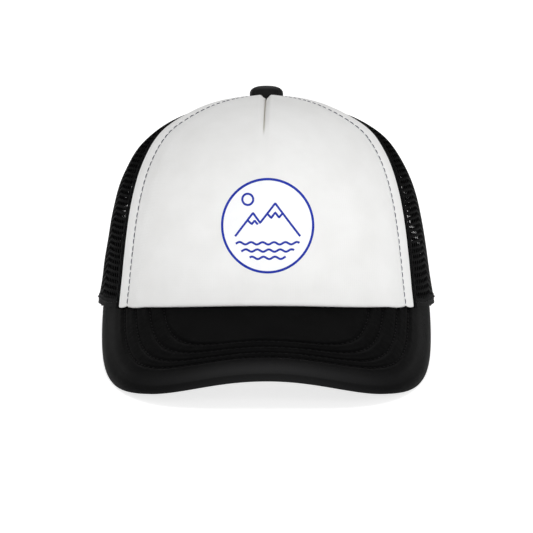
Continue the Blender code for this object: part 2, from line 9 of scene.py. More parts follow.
import bmesh
import bpy
import numpy as np
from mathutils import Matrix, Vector

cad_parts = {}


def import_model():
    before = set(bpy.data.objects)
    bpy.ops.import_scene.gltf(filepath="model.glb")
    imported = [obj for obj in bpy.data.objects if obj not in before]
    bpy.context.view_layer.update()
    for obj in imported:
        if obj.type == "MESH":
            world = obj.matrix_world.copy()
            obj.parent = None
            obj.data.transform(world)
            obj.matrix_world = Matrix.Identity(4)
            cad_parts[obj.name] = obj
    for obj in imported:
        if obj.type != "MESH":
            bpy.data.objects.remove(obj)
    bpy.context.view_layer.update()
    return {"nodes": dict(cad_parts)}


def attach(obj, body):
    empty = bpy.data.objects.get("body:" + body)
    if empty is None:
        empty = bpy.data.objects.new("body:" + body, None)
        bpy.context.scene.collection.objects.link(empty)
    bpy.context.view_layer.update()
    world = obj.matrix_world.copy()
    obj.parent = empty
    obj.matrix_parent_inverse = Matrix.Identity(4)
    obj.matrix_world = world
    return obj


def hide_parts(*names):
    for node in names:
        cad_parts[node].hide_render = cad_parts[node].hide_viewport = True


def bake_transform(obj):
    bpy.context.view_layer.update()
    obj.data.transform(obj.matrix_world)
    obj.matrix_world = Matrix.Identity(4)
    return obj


MM = 0.001

# Crown
HALF_WIDTH, HALF_LENGTH, CROWN_HEIGHT, APEX_BACK = 84.5, 101.0, 102.0, 4.0
SIDE_PROFILE = np.array(((0.898, 0.397), (0.985, 0.945)))
FRONT_PROFILE = np.array(((0.955, 0.400), (0.955, 1.105)))
REAR_PROFILE = np.array(((0.960, 0.380), (0.930, 0.985)))
FRONT_SEAM, FRONT_SEAM_TURN, REAR_SEAM = 58.2, 10.0, 122.0
ARCH_HALF_WIDTH, ARCH_HEIGHT = 47.0, 52.0

# Visor
VISOR_RADIUS, VISOR_SLOPE, VISOR_RISE = 118.0, math.radians(28.0), 7.7
VISOR_REACH, VISOR_HALF_WIDTH, VISOR_END_X = 59.0, 80.5, 81.5
VISOR_SIDE_POWER, VISOR_FRONT_POWER = 4.4, 2.6
BEND_TURN_X, BEND_EXTRA, BEND_POWER = 55.0, 8.0, 2.2
VISOR_THICKNESS = 4.6
ROLL_OUT = 0.48  # how far the rolled edge stands out on a steep slope, as a share of the thickness
VISOR_ROWS = (12.6, 18.2, 24.4, 30.0)
SIDE_INSETS = (11.4, 16.9, 23.6, 30.2)  # of the stitch rows from the visor's side edges
FRONT_INSETS = (15.6, 19.4, 24.3, 29.5)  # and from its front edge

# Strap
STRAP_LOW, STRAP_HIGH, STRAP_THICKNESS = 3.0, 20.0, 1.1
STRAP_MIDDLE = (STRAP_LOW + STRAP_HIGH) / 2
STRAP_TIP, STRAP_LAYER = 17.5, -2.75
STUD_PITCH, STUD_COUNT, STUD_FIRST = 8.0, 7, 12.0
HINGE_X = ARCH_HALF_WIDTH - 5.0
FLANGE_LENGTH = 15.5

# Stand: the crown's frame in the row's frame
LEAN, STAND_BACK, STAND_LIFT = math.radians(-9.17), 26.6, 13.5

RNG = np.random.default_rng(7)


# ---- arithmetic ----


def smooth(x):
    x = np.clip(x, 0.0, 1.0)
    return x * x * (3 - 2 * x)


def bump(x, width):
    return np.exp(-((x / width) ** 2))


def unit(v):
    return v / np.maximum(np.linalg.norm(v, axis=-1, keepdims=True), 1e-12)


def summed(steps):
    return np.concatenate([[0], np.cumsum(steps)])


def distances(line):
    """How far along a line of points each of them is."""
    return summed(np.linalg.norm(np.diff(line, axis=0), axis=1))


def along(place, gone, values):
    """Rows of values at places between known distances."""
    return np.stack([np.interp(place, gone, column) for column in values.T], -1)


def circle(count):
    return np.linspace(0, 2 * math.pi, count, endpoint=False)


def waves(points, length, seed, count=9):
    """Smooth unevenness between about -1 and 1, with bumps about this long."""
    rng = np.random.default_rng(seed)
    total = 0.0
    for _ in range(count):
        way = unit(rng.normal(size=points.shape[-1])) * 2 * math.pi / (length * rng.uniform(0.7, 1.6))
        total = total + np.sin(points @ way + rng.uniform(0, 6.28))
    return total / count**0.5 / 1.3


def to_row(points):
    """From the crown's frame in millimetres to the row's frame in metres."""
    x, y, z = np.moveaxis(np.asarray(points, float), -1, 0)
    c, s = math.cos(LEAN), math.sin(LEAN)
    return np.stack([x, y * c - z * s + STAND_BACK, y * s + z * c + STAND_LIFT], -1) * MM


# ---- the crown's surface ----


def meridian(angle, t):
    angle, t = np.broadcast_arrays(np.asarray(angle, float), np.asarray(t, float))
    ahead = np.cos(np.radians(angle))[..., None, None]
    end = np.where(ahead > 0, FRONT_PROFILE, REAR_PROFILE)
    inner = SIDE_PROFILE + (end - SIDE_PROFILE) * ahead**2
    s = 1 - t
    a, b = 3 * s * s * t, 3 * s * t * t
    radius = s**3 + a * inner[..., 0, 0] + b * inner[..., 1, 0]
    return radius, a * inner[..., 0, 1] + b * inner[..., 1, 1] + t**3


def arch(x):
    """How far the visor's cross-section has dropped at x, and its slope there."""
    rise = np.sqrt(VISOR_RADIUS**2 - x * x)
    wide = VISOR_END_X - BEND_TURN_X
    past = np.maximum(np.abs(x) - BEND_TURN_X, 0.0) / wide
    extra = BEND_EXTRA * BEND_POWER * past ** (BEND_POWER - 1) / wide
    return VISOR_RADIUS - rise + BEND_EXTRA * past**BEND_POWER, x / rise + np.sign(x) * extra


def visor_height(x, y):
    return VISOR_RISE + (HALF_LENGTH + y) * math.tan(VISOR_SLOPE) - arch(x)[0] / math.cos(VISOR_SLOPE)


VISOR_END_Y = -HALF_LENGTH * math.sqrt(1 - (VISOR_END_X / HALF_WIDTH) ** 2)
HEM_LEVEL_Y = 14.0


def hem_height(x, y):
    reach = smooth((HEM_LEVEL_Y - y) / (HEM_LEVEL_Y - VISOR_END_Y))
    x = np.where(y > VISOR_END_Y, np.minimum(np.abs(x), VISOR_END_X), np.abs(x))
    x = np.minimum(x, 90.0)
    return reach * (visor_height(x, np.minimum(y, VISOR_END_Y)) + 0.3)


def bare_crown(angle, t):
    radius, height = meridian(angle, t)
    a = np.radians(angle)
    x = HALF_WIDTH * radius * np.sin(a)
    y = -HALF_LENGTH * radius * np.cos(a) + APEX_BACK * height
    return np.stack([x, y, CROWN_HEIGHT * height + hem_height(x, y) * (1 - height)], -1)


def crown_normal(angle, t):
    across = bare_crown(angle + 0.5, t) - bare_crown(angle - 0.5, t)
    up = bare_crown(angle, np.minimum(t + 1e-3, 1.0)) - bare_crown(angle, np.maximum(t - 1e-3, 0.0))
    return unit(np.cross(across, up))


def crown(angle, t, out=0.0):
    angle, t, out = np.broadcast_arrays(*(np.asarray(v, float) for v in (angle, t, out)))
    base = bare_crown(angle, t)
    point = base + crown_normal(angle, t) * out[..., None]
    edge = hem_height(point[..., 0], point[..., 1])
    lift = edge + base[..., 2] - hem_height(base[..., 0], base[..., 1]) - point[..., 2]
    point[..., 2] += lift * (1 - t) ** 8
    return point


def degree(angle, t):
    """Millimetres for one degree across the crown."""
    return np.linalg.norm(bare_crown(angle + 0.5, t) - bare_crown(angle - 0.5, t), axis=-1)


def solve(low, high, below, steps=34):
    """The place between two arrays where below(x) turns false."""
    for _ in range(steps):
        middle = (low + high) / 2
        yes = below(middle)
        low, high = np.where(yes, middle, low), np.where(yes, high, middle)
    return low


def t_at(angle, height):
    """The t this high above the hem."""
    angle, height = np.broadcast_arrays(np.asarray(angle, float), np.asarray(height, float))
    foot = bare_crown(angle, np.zeros(angle.shape))[..., 2]
    return solve(
        np.zeros(angle.shape), np.ones(angle.shape), lambda t: bare_crown(angle, t)[..., 2] - foot < height
    )


def top_t(angle, radius):
    """The t this far from the button's axis."""
    angle = np.asarray(angle, float)
    return solve(
        np.full(angle.shape, 0.5), np.ones(angle.shape), lambda t: HALF_WIDTH * meridian(angle, t)[0] > radius
    )


def front_seam(t):
    return FRONT_SEAM - FRONT_SEAM_TURN * smooth((meridian(FRONT_SEAM, t)[1] - 0.77) / 0.23)


def rear_angle(x):
    return 180 - np.degrees(np.arcsin(np.asarray(x, float) / HALF_WIDTH))


# ---- making meshes ----


def add_mesh(name, points, faces, material, uv=None, sharp=None):
    """A mesh object in the row's frame, from points in the crown's frame. uv is per point, in metres."""
    mesh = bpy.data.meshes.new(name)
    mesh.from_pydata(to_row(points).tolist(), [], faces.tolist() if isinstance(faces, np.ndarray) else faces)
    mesh.materials.append(material)
    if uv is not None:
        layer = mesh.uv_layers.new(name="cloth")
        index = np.zeros(len(mesh.loops), int)
        mesh.loops.foreach_get("vertex_index", index)
        layer.data.foreach_set("uv", np.asarray(uv, np.float32)[index].ravel())
    mesh.shade_smooth()
    if sharp:
        mesh.set_sharp_from_angle(angle=math.radians(sharp))
    return in_scene(name, mesh)


def in_scene(name, data):
    obj = bpy.data.objects.new(name, data)
    bpy.context.scene.collection.objects.link(obj)
    return obj


def tube_faces(rings, sides):
    """Quads between rings of points."""
    i, j = np.meshgrid(np.arange(rings - 1), np.arange(sides), indexing="ij")
    a, b = i * sides + j, i * sides + (j + 1) % sides
    return np.stack([a, a + sides, b + sides, b], -1).reshape(-1, 4)


def grid_faces(rows, columns, start=0, flip=False):
    """Quads of a grid of points stored row by row."""
    i, j = np.meshgrid(np.arange(rows - 1), np.arange(columns - 1), indexing="ij")
    a = i * columns + j
    b = a + columns
    quads = np.stack([a, a + 1, b + 1, b], -1).reshape(-1, 4) + start
    return quads[:, ::-1] if flip else quads


def grid_uv(points):
    """Distances along the middle row and column, for every point of a grid."""
    rows, columns = points.shape[:2]
    u, v = distances(points[rows // 2]), distances(points[:, columns // 2])
    return np.stack(np.meshgrid(u, v), -1).reshape(-1, 2) * MM


def shell(name, outer, inner, material):
    """A closed sheet between two grids of points, the outer one facing out."""
    rows, columns = outer.shape[:2]
    count = rows * columns
    rim = np.concatenate(
        [
            np.arange(columns),
            np.arange(1, rows) * columns + columns - 1,
            (rows - 1) * columns + np.arange(columns - 2, -1, -1),
            np.arange(rows - 2, 0, -1) * columns,
        ]
    )
    following = np.roll(rim, -1)
    walls = np.stack([following, rim, rim + count, following + count], -1)
    back = grid_faces(rows, columns, start=count, flip=True)
    faces = np.concatenate([grid_faces(rows, columns), back, walls])
    points = np.concatenate([outer.reshape(-1, 3), inner.reshape(-1, 3)])
    uv = grid_uv(outer)
    return add_mesh(name, points, faces, material, np.concatenate([uv, uv]))


def swept(name, rings, material):
    """A closed body from rings of points, (count, around, 3), with flat ends."""
    count, around = rings.shape[:2]
    faces = np.roll(tube_faces(count, around)[:, ::-1], 1, axis=1).tolist()
    faces.append(list(range(around))[::-1])
    faces.append([(count - 1) * around + k for k in range(around)])
    u, v = distances(rings[:, 0]), distances(rings[count // 2])
    uv = np.stack(np.meshgrid(u, v, indexing="ij"), -1).reshape(-1, 2) * MM
    obj = add_mesh(name, rings.reshape(-1, 3), faces, material, uv)
    outward(obj)
    return obj


def mark(obj, name, values):
    """A value for each point of a shell's grid, on both its faces, for the material to read."""
    layer = obj.data.attributes.new(name, "FLOAT", "POINT")
    layer.data.foreach_set("value", np.tile(values.ravel(), 2).astype(np.float32))


def outward(obj):
    """Turns a closed mesh's faces out."""
    bm = bmesh.new()
    bm.from_mesh(obj.data)
    bmesh.ops.recalc_face_normals(bm, faces=bm.faces)
    if bm.calc_volume(signed=True) < 0:
        bmesh.ops.reverse_faces(bm, faces=bm.faces)
    bm.to_mesh(obj.data)
    bm.free()


def folded_section(centre, half):
    """A closed section from an open line of points and half its thickness."""
    way = unit(np.gradient(centre, axis=0))
    side = np.stack([-way[:, 1], way[:, 0]], -1) * half
    return np.concatenate([centre + side, (centre - side)[::-1]])


def stitches(name, path, normal, material, length=2.5, gap=0.6, radius=0.24, sunk=-0.06):
    """Machine stitches along a line of points: each thread dives into the cloth at both ends."""
    gone = distances(path)
    count = max(int((gone[-1] + gap) / (length + gap)), 1)
    pitch = (gone[-1] + gap) / count
    rings, sides = 7, 6
    share = np.linspace(0, 1, rings)
    wobble = RNG.normal(0, 0.05, (count, 1))
    place = (np.arange(count)[:, None] + wobble) * pitch + share * (pitch - gap)
    at, up = along(place, gone, path), unit(along(place, gone, normal))
    way = unit(np.gradient(at, axis=1))
    side = unit(np.cross(way, up))
    lift = radius * (1.5 * np.sin(np.pi * share) ** 0.35 - 0.9) - sunk
    at = at + up * lift[None, :, None] + side * RNG.normal(0, 0.05, (count, 1, 1))
    thick = radius * np.array([0.35, 0.85, 1.0, 1.0, 1.0, 0.85, 0.35])
    turn = circle(sides)
    ring = up[:, :, None] * np.cos(turn)[:, None] + side[:, :, None] * np.sin(turn)[:, None]
    points = at[:, :, None] + ring * thick[None, :, None, None]
    starts = np.arange(count) * rings * sides
    quads = (tube_faces(rings, sides) + starts[:, None, None]).reshape(-1, 4).tolist()
    for first in starts.tolist():
        quads.append([first + n for n in range(sides)])
        quads.append([first + (rings - 1) * sides + n for n in range(sides)][::-1])
    obj = add_mesh(name, points.reshape(-1, 3), quads, material)
    on_cap(obj, "black_tape")


def on_cap(obj, slot, *nodes):
    """The piece rides on the cap and stands for CAD nodes if it has any. slot is not used."""
    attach(obj, "cap")
    if nodes:
        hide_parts(*nodes)


# ---- materials ----


class Nodes:
    """A material's node tree, built a node at a time."""

    def __init__(self, name, roughness, sheen=0.0, metallic=0.0, specular=0.5, sheen_tint=0.5):
        self.material = bpy.data.materials.new(name)
        self.material.use_nodes = True
        self.tree = self.material.node_tree
        self.shader = self.tree.nodes["Principled BSDF"]
        for socket, value in (
            ("Roughness", roughness),
            ("Sheen Weight", sheen),
            ("Sheen Roughness", 0.4),
            ("Metallic", metallic),
            ("Specular IOR Level", specular),
        ):
            self.shader.inputs[socket].default_value = value
        self.shader.inputs["Sheen Tint"].default_value = (sheen_tint, sheen_tint, sheen_tint, 1)
        self.normal = None

    def paint_light_and_shade(self, attribute, colour, ramp):
        """Paints shade and highlights: mixes towards a colour where a vertex attribute says so."""
        fac = self.add("ShaderNodeAttribute", {"attribute_name": attribute}).outputs["Fac"]
        mix = self.add("ShaderNodeMix", {"data_type": "RGBA"})
        self.put(mix.inputs[0], fac)
        self.put(mix.inputs[6], ramp.outputs["Color"])
        self.put(mix.inputs[7], (*colour, 1))
        self.put(self.shader.inputs["Base Color"], mix.outputs[2])

    def add(self, kind, settings=(), **inputs):
        node = self.tree.nodes.new(kind)
        for key, value in dict(settings).items():
            setattr(node, key, value)
        for key, value in inputs.items():
            self.put(node.inputs[key.replace("_", " ")], value)
        return node

    def put(self, socket, value):
        if isinstance(value, bpy.types.NodeSocket):
            self.tree.links.new(value, socket)
        else:
            socket.default_value = value

    def where(self, uv=False, turn=0.0):
        coordinate = self.add("ShaderNodeTexCoord").outputs["UV" if uv else "Object"]
        return self.add("ShaderNodeMapping", Vector=coordinate, Rotation=(0, 0, turn)).outputs["Vector"]

    def noise(self, scale, detail=2.0):
        return self.add("ShaderNodeTexNoise", Vector=self.where(), Scale=scale, Detail=detail).outputs["Fac"]

    def wave(self, scale, distortion=0.0, uv=True, turn=0.0):
        node = self.add("ShaderNodeTexWave", Vector=self.where(uv, turn), Scale=scale, Distortion=distortion)
        node.inputs["Detail Scale"].default_value = 2.0
        return node.outputs["Fac"]

    def colours(self, fac, dark, light, low=0.3, high=0.7):
        ramp = self.add("ShaderNodeValToRGB", Fac=fac)
        ramp.color_ramp.elements[0].position = low
        ramp.color_ramp.elements[1].position = high
        ramp.color_ramp.elements[0].color = (*dark, 1)
        ramp.color_ramp.elements[1].color = (*light, 1)
        self.put(self.shader.inputs["Base Color"], ramp.outputs["Color"])
        return ramp

    def bump(self, fac, strength, distance):
        node = self.add("ShaderNodeBump", Height=fac, Strength=strength, Distance=distance * MM)
        if self.normal is not None:
            self.put(node.inputs["Normal"], self.normal)
        self.normal = node.outputs["Normal"]
        self.put(self.shader.inputs["Normal"], self.normal)

    def rough(self, fac, low, high):
        node = self.add("ShaderNodeMapRange", Value=fac, To_Min=low, To_Max=high)
        self.put(self.shader.inputs["Roughness"], node.outputs["Result"])


# name: (shader, (scale, detail) of the colour's noise, dark, light, relief). Each line of relief is
# (kind, scale, distortion or detail, turn, strength, depth in mm): weave follows the cloth, twist doesn't.
KNIT = ("weave", 480, 0.7, 0.25, 0.3, 0.10)
TWIST = ("twist", 1500, 0.2, 0.6, 0.5, 0.1)
FINE_GRAIN = ("grain", 1200, 2, 0, 0.15, 0.06)
CLOTHS = {
    "white_knit": (
        {"roughness": 0.85, "sheen": 0.15, "specular": 0.25, "sheen_tint": 1.0},
        *((60, 3), (0.800, 0.798, 0.788), (0.843, 0.842, 0.835)),
        (
            ("weave", 320, 0.6, 0, 0.25, 0.10),
            ("weave", 420, 0.8, math.pi / 2, 0.2, 0.08),
            ("grain", 900, 2, 0, 0.12, 0.12),
        ),
    ),
    "white_foam": (
        {"roughness": 0.95, "specular": 0.2},
        *((140, 3), (0.72, 0.71, 0.68), (0.82, 0.81, 0.78)),
        [("cells", 1300, 0, 0, 0.5, 0.25)],
    ),
    "black_mesh": (
        {"roughness": 0.5, "specular": 0.01},
        *((300, 2), (0.0003, 0.0003, 0.0004), (0.0010, 0.0010, 0.0011)),
        [("twist", 900, 1.5, 0.5, 0.4, 0.12)],
    ),
    "black_tape": (
        {"roughness": 0.75, "specular": 0.06},
        *((200, 2), (0.0014, 0.0014, 0.0016), (0.0040, 0.0040, 0.0043)),
        [("weave", 450, 0.3, 0.9, 0.5, 0.15)],
    ),
    "black_twill": (
        {"roughness": 0.8, "sheen": 0.02, "specular": 0.12},
        *((90, 3), (0.004, 0.004, 0.0045), (0.009, 0.009, 0.0095)),
        [("weave", 380, 0.4, 0.8, 0.6, 0.2), ("grain", 1500, 2, 0, 0.2, 0.1)],
    ),
    "black_knit": (
        {"roughness": 0.55, "specular": 0.022},
        *((45, 4), (0.0013, 0.0013, 0.0014), (0.0026, 0.0026, 0.0027)),
        [KNIT, ("weave", 520, 0.7, 1.82, 0.3, 0.10), ("grain", 70, 3, 0, 0.25, 0.6)],
    ),
    "button_knit": (
        {"roughness": 0.6, "specular": 0.12},
        *((60, 3), (0.0045, 0.0045, 0.0048), (0.0080, 0.0080, 0.0083)),
        [KNIT, ("grain", 300, 3, 0, 0.3, 0.3)],
    ),
    "black_plastic": (
        {"roughness": 0.35, "specular": 0.3},
        *((80, 2), (0.003, 0.003, 0.0035), (0.006, 0.006, 0.0065)),
        [("grain", 2500, 2, 0, 0.15, 0.05)],
    ),
    "button_metal": (
        {"roughness": 0.35, "metallic": 1.0},
        *((150, 3), (0.45, 0.45, 0.44), (0.62, 0.62, 0.60)),
        [("grain", 700, 3, 0, 0.1, 0.08)],
    ),
    "label_satin": (
        {"roughness": 0.4, "sheen": 0.2},
        *((200, 2), (0.74, 0.74, 0.73), (0.82, 0.82, 0.81)),
        [("weave", 900, 0.2, 0, 0.3, 0.05)],
    ),
    "print_white": (
        {"roughness": 0.6, "specular": 0.35},
        *((100, 3), (0.89, 0.895, 0.90), (0.93, 0.93, 0.94)),
        [FINE_GRAIN],
    ),
    "print_blue": (
        {"roughness": 0.55, "specular": 0.12},
        *((300, 3), (0.011, 0.030, 0.33), (0.017, 0.040, 0.40)),
        [FINE_GRAIN],
    ),
    "grey_thread": (
        {"roughness": 0.6, "specular": 0.2},
        *((400, 2), (0.018, 0.022, 0.05), (0.05, 0.055, 0.10)),
        [TWIST],
    ),
    "black_thread": (
        {"roughness": 0.5, "specular": 0.08},
        *((400, 2), (0.0020, 0.0020, 0.0022), (0.0050, 0.0050, 0.0054)),
        [TWIST],
    ),
    "floor_white": ({"roughness": 0.9, "specular": 0.05}, (6, 2), (0.64, 0.64, 0.64), (0.66, 0.66, 0.66), []),
}
# name: (attribute, the colour it turns the cloth to). Both are painted light: shade in the dart's crease and
# a highlight along the visor's front edge.
PAINTED_LIGHT_MARKS = {"white_knit": ("crease", (0.34, 0.31, 0.25)), "black_knit": ("painted_edge_highlight", (0.021, 0.021, 0.0215))}
# name: (scale and detail of the noise, least roughness, most)
UNEVEN_SHINE = {"black_plastic": (60, 3, 0.28, 0.45), "button_metal": (200, 3, 0.28, 0.5)}


def make_materials():
    made = {}
    for name, (look, (scale, detail), dark, light, relief) in CLOTHS.items():
        m = made[name] = Nodes(name, **look)
        ramp = m.colours(m.noise(scale, detail), dark, light)
        # painted shade in the dart's crease, painted highlight along the visor's front edge
        if name in PAINTED_LIGHT_MARKS:
            m.paint_light_and_shade(*PAINTED_LIGHT_MARKS[name], ramp)
        for kind, *shape, turn, strength, depth in relief:
            if kind == "grain":
                height = m.noise(*shape)
            elif kind == "cells":
                height = m.add("ShaderNodeTexVoronoi", Vector=m.where(), Scale=shape[0]).outputs["Distance"]
            else:
                height = m.wave(*shape, uv=kind == "weave", turn=turn)
            m.bump(height, strength, depth)
        if name in UNEVEN_SHINE:
            scale, detail, low, high = UNEVEN_SHINE[name]
            m.rough(m.noise(scale, detail), low, high)
    floor = made["floor_white"].shader
    floor.inputs["Emission Color"].default_value = (1, 1, 1, 1)
    floor.inputs["Emission Strength"].default_value = 0.75
    return {name: nodes.material for name, nodes in made.items()}


# ---- front panel ----

DART_LENGTH = 78.0
TOPSTITCH = 8.8  # from the seam


def from_apex(angle, t):
    """How far a point is from the button's axis, in millimetres."""
    return np.linalg.norm(bare_crown(angle, t)[..., :2] - (0, APEX_BACK), axis=-1)


def dart_bend(radius):
    """The dart's sideways wander on its way down from the button."""
    return -1.5 * np.clip(radius / DART_LENGTH, 0, 1) ** 1.5


def painted_crease_shade(angle, t):
    """Painted shade: 1 in the sewn dart's crease, and 0 away from it."""
    radius = from_apex(angle, t)
    off = np.abs(np.radians(angle) * radius - dart_bend(radius))
    return bump(off, 0.38) * (1 - smooth((radius - DART_LENGTH * 0.92) / (DART_LENGTH * 0.08)))


def front_level(angle, t):
    """How far the front panel's face stands out: rolled edges, a stitched channel, a dart and soft wear."""
    edge = (front_seam(t) - np.abs(angle)) * degree(angle, t)
    hem = np.maximum(bare_crown(angle, t)[..., 2] - bare_crown(angle, np.zeros_like(t))[..., 2], 0.0)
    radius = from_apex(angle, t)
    roll = np.sqrt(np.clip(1 - (1 - np.clip(edge / 1.6, 0, 1)) ** 2, 0, 1))
    foam = 0.75 + 1.05 * smooth((edge - TOPSTITCH + 1.0) / 12.0) * smooth((radius - 9) / 24)
    foam = foam + 0.35 * bump(edge - 0.5 * TOPSTITCH, 2.8) - 0.5 * bump(edge - TOPSTITCH, 0.9)
    foam = foam * (0.15 + 0.85 * roll)
    foam = foam * (0.35 + 0.65 * np.sqrt(np.clip(hem / 2.0, 0, 1)))
    x = np.radians(angle) * radius
    off = np.abs(x - dart_bend(radius))
    depth = 1 - smooth((radius - DART_LENGTH * 0.76) / (DART_LENGTH * 0.24))
    foam = foam - depth * (1.2 * bump(off, 0.42) + 0.5 * bump(off, 1.7))
    shoulders = smooth((radius - 8) / 14) * (1 - smooth((radius - 50) / 40))
    spread = smooth((off - 0.5) / 2.8) * (1 - 0.4 * smooth((off - 25) / 25))
    foam = foam + 1.5 * shoulders * spread * roll
    point = bare_crown(angle, t)
    foam = foam + 0.09 * waves(point, 45.0, 3) + 0.05 * waves(point, 12.0, 4) * bump(edge - 4, 6.0)
    return foam


def front_place(angle, t, out=0.0):
    return crown(angle, t, front_level(angle, t) + out)


def make_front_panel(mat):
    columns, rows = 261, 184
    share = np.linspace(-1, 1, columns)
    share = np.sign(share) * (1 - (1 - np.abs(share)) ** 1.25)
    up = (1 - (1 - np.linspace(0, 1, rows)) ** 1.15)[:, None]
    foot = 0.008 * smooth((np.abs(share) - 0.75) / 0.25)
    t = up * np.ones(columns)
    for _ in range(3):
        angle = share * front_seam(t)
        t = foot + up * (top_t(angle, 3.0) - foot)
    outer, inner = front_place(angle, t), front_place(angle, t, -0.45)
    face = shell("front_panel_knit", outer, inner, mat["white_knit"])
    # painted shade along the dart's crease
    mark(face, "crease", painted_crease_shade(angle, t))
    on_cap(face, "white_knit", "front_panel_face")
    a, b = angle[::3, ::4], t[::3, ::4]
    level = front_level(a, b) - 0.5
    point = bare_crown(a, b)
    back = np.minimum(-1.5 + 0.15 * waves(point, 9.0, 5), level - 0.3)
    foam = shell("front_panel_padding", crown(a, b, level), crown(a, b, back), mat["white_foam"])
    on_cap(foam, "white_foam", "front_panel_foam")


def seam_path(seam, offset, low, high, count=500, rise=0.0, level=None):
    """(path, normals) beside a seam, offset sideways in millimetres, between two heights given as t."""
    t = np.linspace(low, high, count)
    centre = seam(t)
    angle = centre + offset / degree(centre, t)
    out = rise + (level(angle, t) if level else 0.0)
    return crown(angle, t, out), crown_normal(angle, t)


def front_panel_stitches(mat):
    for side, word in ((1, "left"), (-1, "right")):
        offset = -side * TOPSTITCH
        path, normal = seam_path(lambda t: side * front_seam(t), offset, 0.012, 0.925, level=front_level)
        size = {"length": 2.7, "gap": 0.5, "radius": 0.2, "sunk": -0.14}
        stitches(f"{word}_front_topstitch", path, normal, mat["grey_thread"], **size)


# ---- mesh panels ----

NET_PITCH, NET_HOLE = 3.1, 0.62  # from hole to hole, and a hole's share of its cell


def mesh_pattern(middle, inside):
    """A net of six-sided holes laid on the crown round a meridian: (angle, t, on the rim, quads, cells)."""
    ts = np.linspace(0, 1, 500)
    line = bare_crown(np.full(500, middle), ts)
    up = distances(line)
    wide = degree(np.full(500, middle), ts)
    row = NET_PITCH * math.sqrt(3) / 2
    i, j = np.meshgrid(np.arange(int(up[-1] / row) + 1), np.arange(-40, 41), indexing="ij")
    centre = np.stack([(j + 0.5 * (i % 2)) * NET_PITCH, i * row], -1).reshape(-1, 2)
    turn = np.radians(30 + 60 * np.arange(6))
    star = np.stack([np.cos(turn), np.sin(turn)], -1) * NET_PITCH / math.sqrt(3)
    rim = centre[:, None] + star
    edge = centre[:, None] + star * (NET_HOLE, NET_HOLE * 0.92)

    def place(uv):
        t = np.interp(uv[..., 1], up, ts)
        return middle + uv[..., 0] / np.interp(uv[..., 1], up, wide), t

    angle, t = place(rim)
    kept = inside(angle, t).all(axis=1)
    kept &= (rim[..., 1].min(axis=1) > 0) & (rim[..., 1].max(axis=1) < up[-1])
    rim, edge = rim[kept], edge[kept]
    count = len(rim)
    flat, index = np.unique(np.round(rim.reshape(-1, 2), 3), axis=0, return_inverse=True)
    index = index.reshape(count, 6)
    hole_index = len(flat) + np.arange(count * 6).reshape(count, 6)
    quads = [index, np.roll(index, -1, 1), np.roll(hole_index, -1, 1), hole_index]
    quads = np.stack(quads, -1).reshape(-1, 4)
    uv = np.concatenate([flat, edge.reshape(-1, 2)])
    ridge = np.concatenate([np.ones(len(flat)), np.zeros(count * 6)])
    return (*place(uv), ridge, quads, index)


def make_net(name, middle, inside, node, material, seed):
    angle, t, ridge, quads, cells = mesh_pattern(middle, inside)
    point = bare_crown(angle, t)
    slack = 0.22 * waves(point, 26.0, seed)
    top = crown(angle, t, -0.22 + 0.16 * ridge + slack)
    low = crown(angle, t, -0.62 - 0.1 * ridge + slack)
    count = len(top)
    ends = np.concatenate([quads[:, [k, (k + 1) % 4]] for k in range(4)])
    key = np.sort(ends, axis=1)
    _, first, uses = np.unique(key, axis=0, return_index=True, return_counts=True)
    rim = ends[first[uses == 1]]
    walls = np.stack([rim[:, 1], rim[:, 0], rim[:, 0] + count, rim[:, 1] + count], -1)
    faces = np.concatenate([quads, quads[:, ::-1] + count, walls])
    obj = add_mesh(name, np.concatenate([top, low]), faces, material, sharp=50)
    outward(obj)
    on_cap(obj, "black_mesh", node)
    corners = top[cells] * MM
    spokes = corners - corners.mean(axis=1, keepdims=True)
    area = np.linalg.norm(np.cross(spokes, np.roll(spokes, -1, axis=1)), axis=2).sum() / 2
    return obj, float(area)


BAND_WIDTH, BAND_HIGH = 5.0, 0.977  # the second is a t, under the button


def band(name, seam, side, low, material, other):
    """The doubled edge of a panel beside a seam: it dips into the seam and thins out into the net."""
    t = np.linspace(low, BAND_HIGH, 220)
    centre = seam(t)
    share = 0.42 + 0.1 * smooth((t - 0.86) / 0.07)
    wide = np.minimum(BAND_WIDTH, np.abs(other(t) - centre) * degree(centre, t) * share)
    across = np.array([0.0, 0.03, 0.08, 0.16, 0.28, 0.42, 0.52, 0.6, 0.72, 0.86, 0.95, 1.0])
    angle = centre[:, None] + side * (wide[:, None] * across + 0.05) / degree(centre, t)[:, None]
    height = np.array([-0.25, 0.15, 0.4, 0.52, 0.46, 0.32, 0.22, 0.3, 0.36, 0.3, 0.15, -0.1])
    tt = t[:, None] * np.ones(len(across))
    unevenness = 0.05 * waves(bare_crown(angle, tt), 5.0, 11)
    outer = crown(angle, tt, height + unevenness)
    inner = crown(angle, tt, -0.95)
    obj = shell(name, outer, inner, material)
    outward(obj)
    on_cap(obj, "black_mesh")


def in_arch(angle, t, margin=1.6):
    """Whether a point is inside the half-moon opening, grown by a margin."""
    point = bare_crown(angle, t)
    height = point[..., 2] - bare_crown(angle, np.zeros_like(t))[..., 2]
    share = (point[..., 0] / (ARCH_HALF_WIDTH + margin)) ** 2 + (height / (ARCH_HEIGHT + margin)) ** 2
    return (share < 1) & (np.abs(angle) > 90)


def at_angle(angle):
    """A seam that follows a meridian."""
    return lambda t: np.full(np.shape(t), angle)


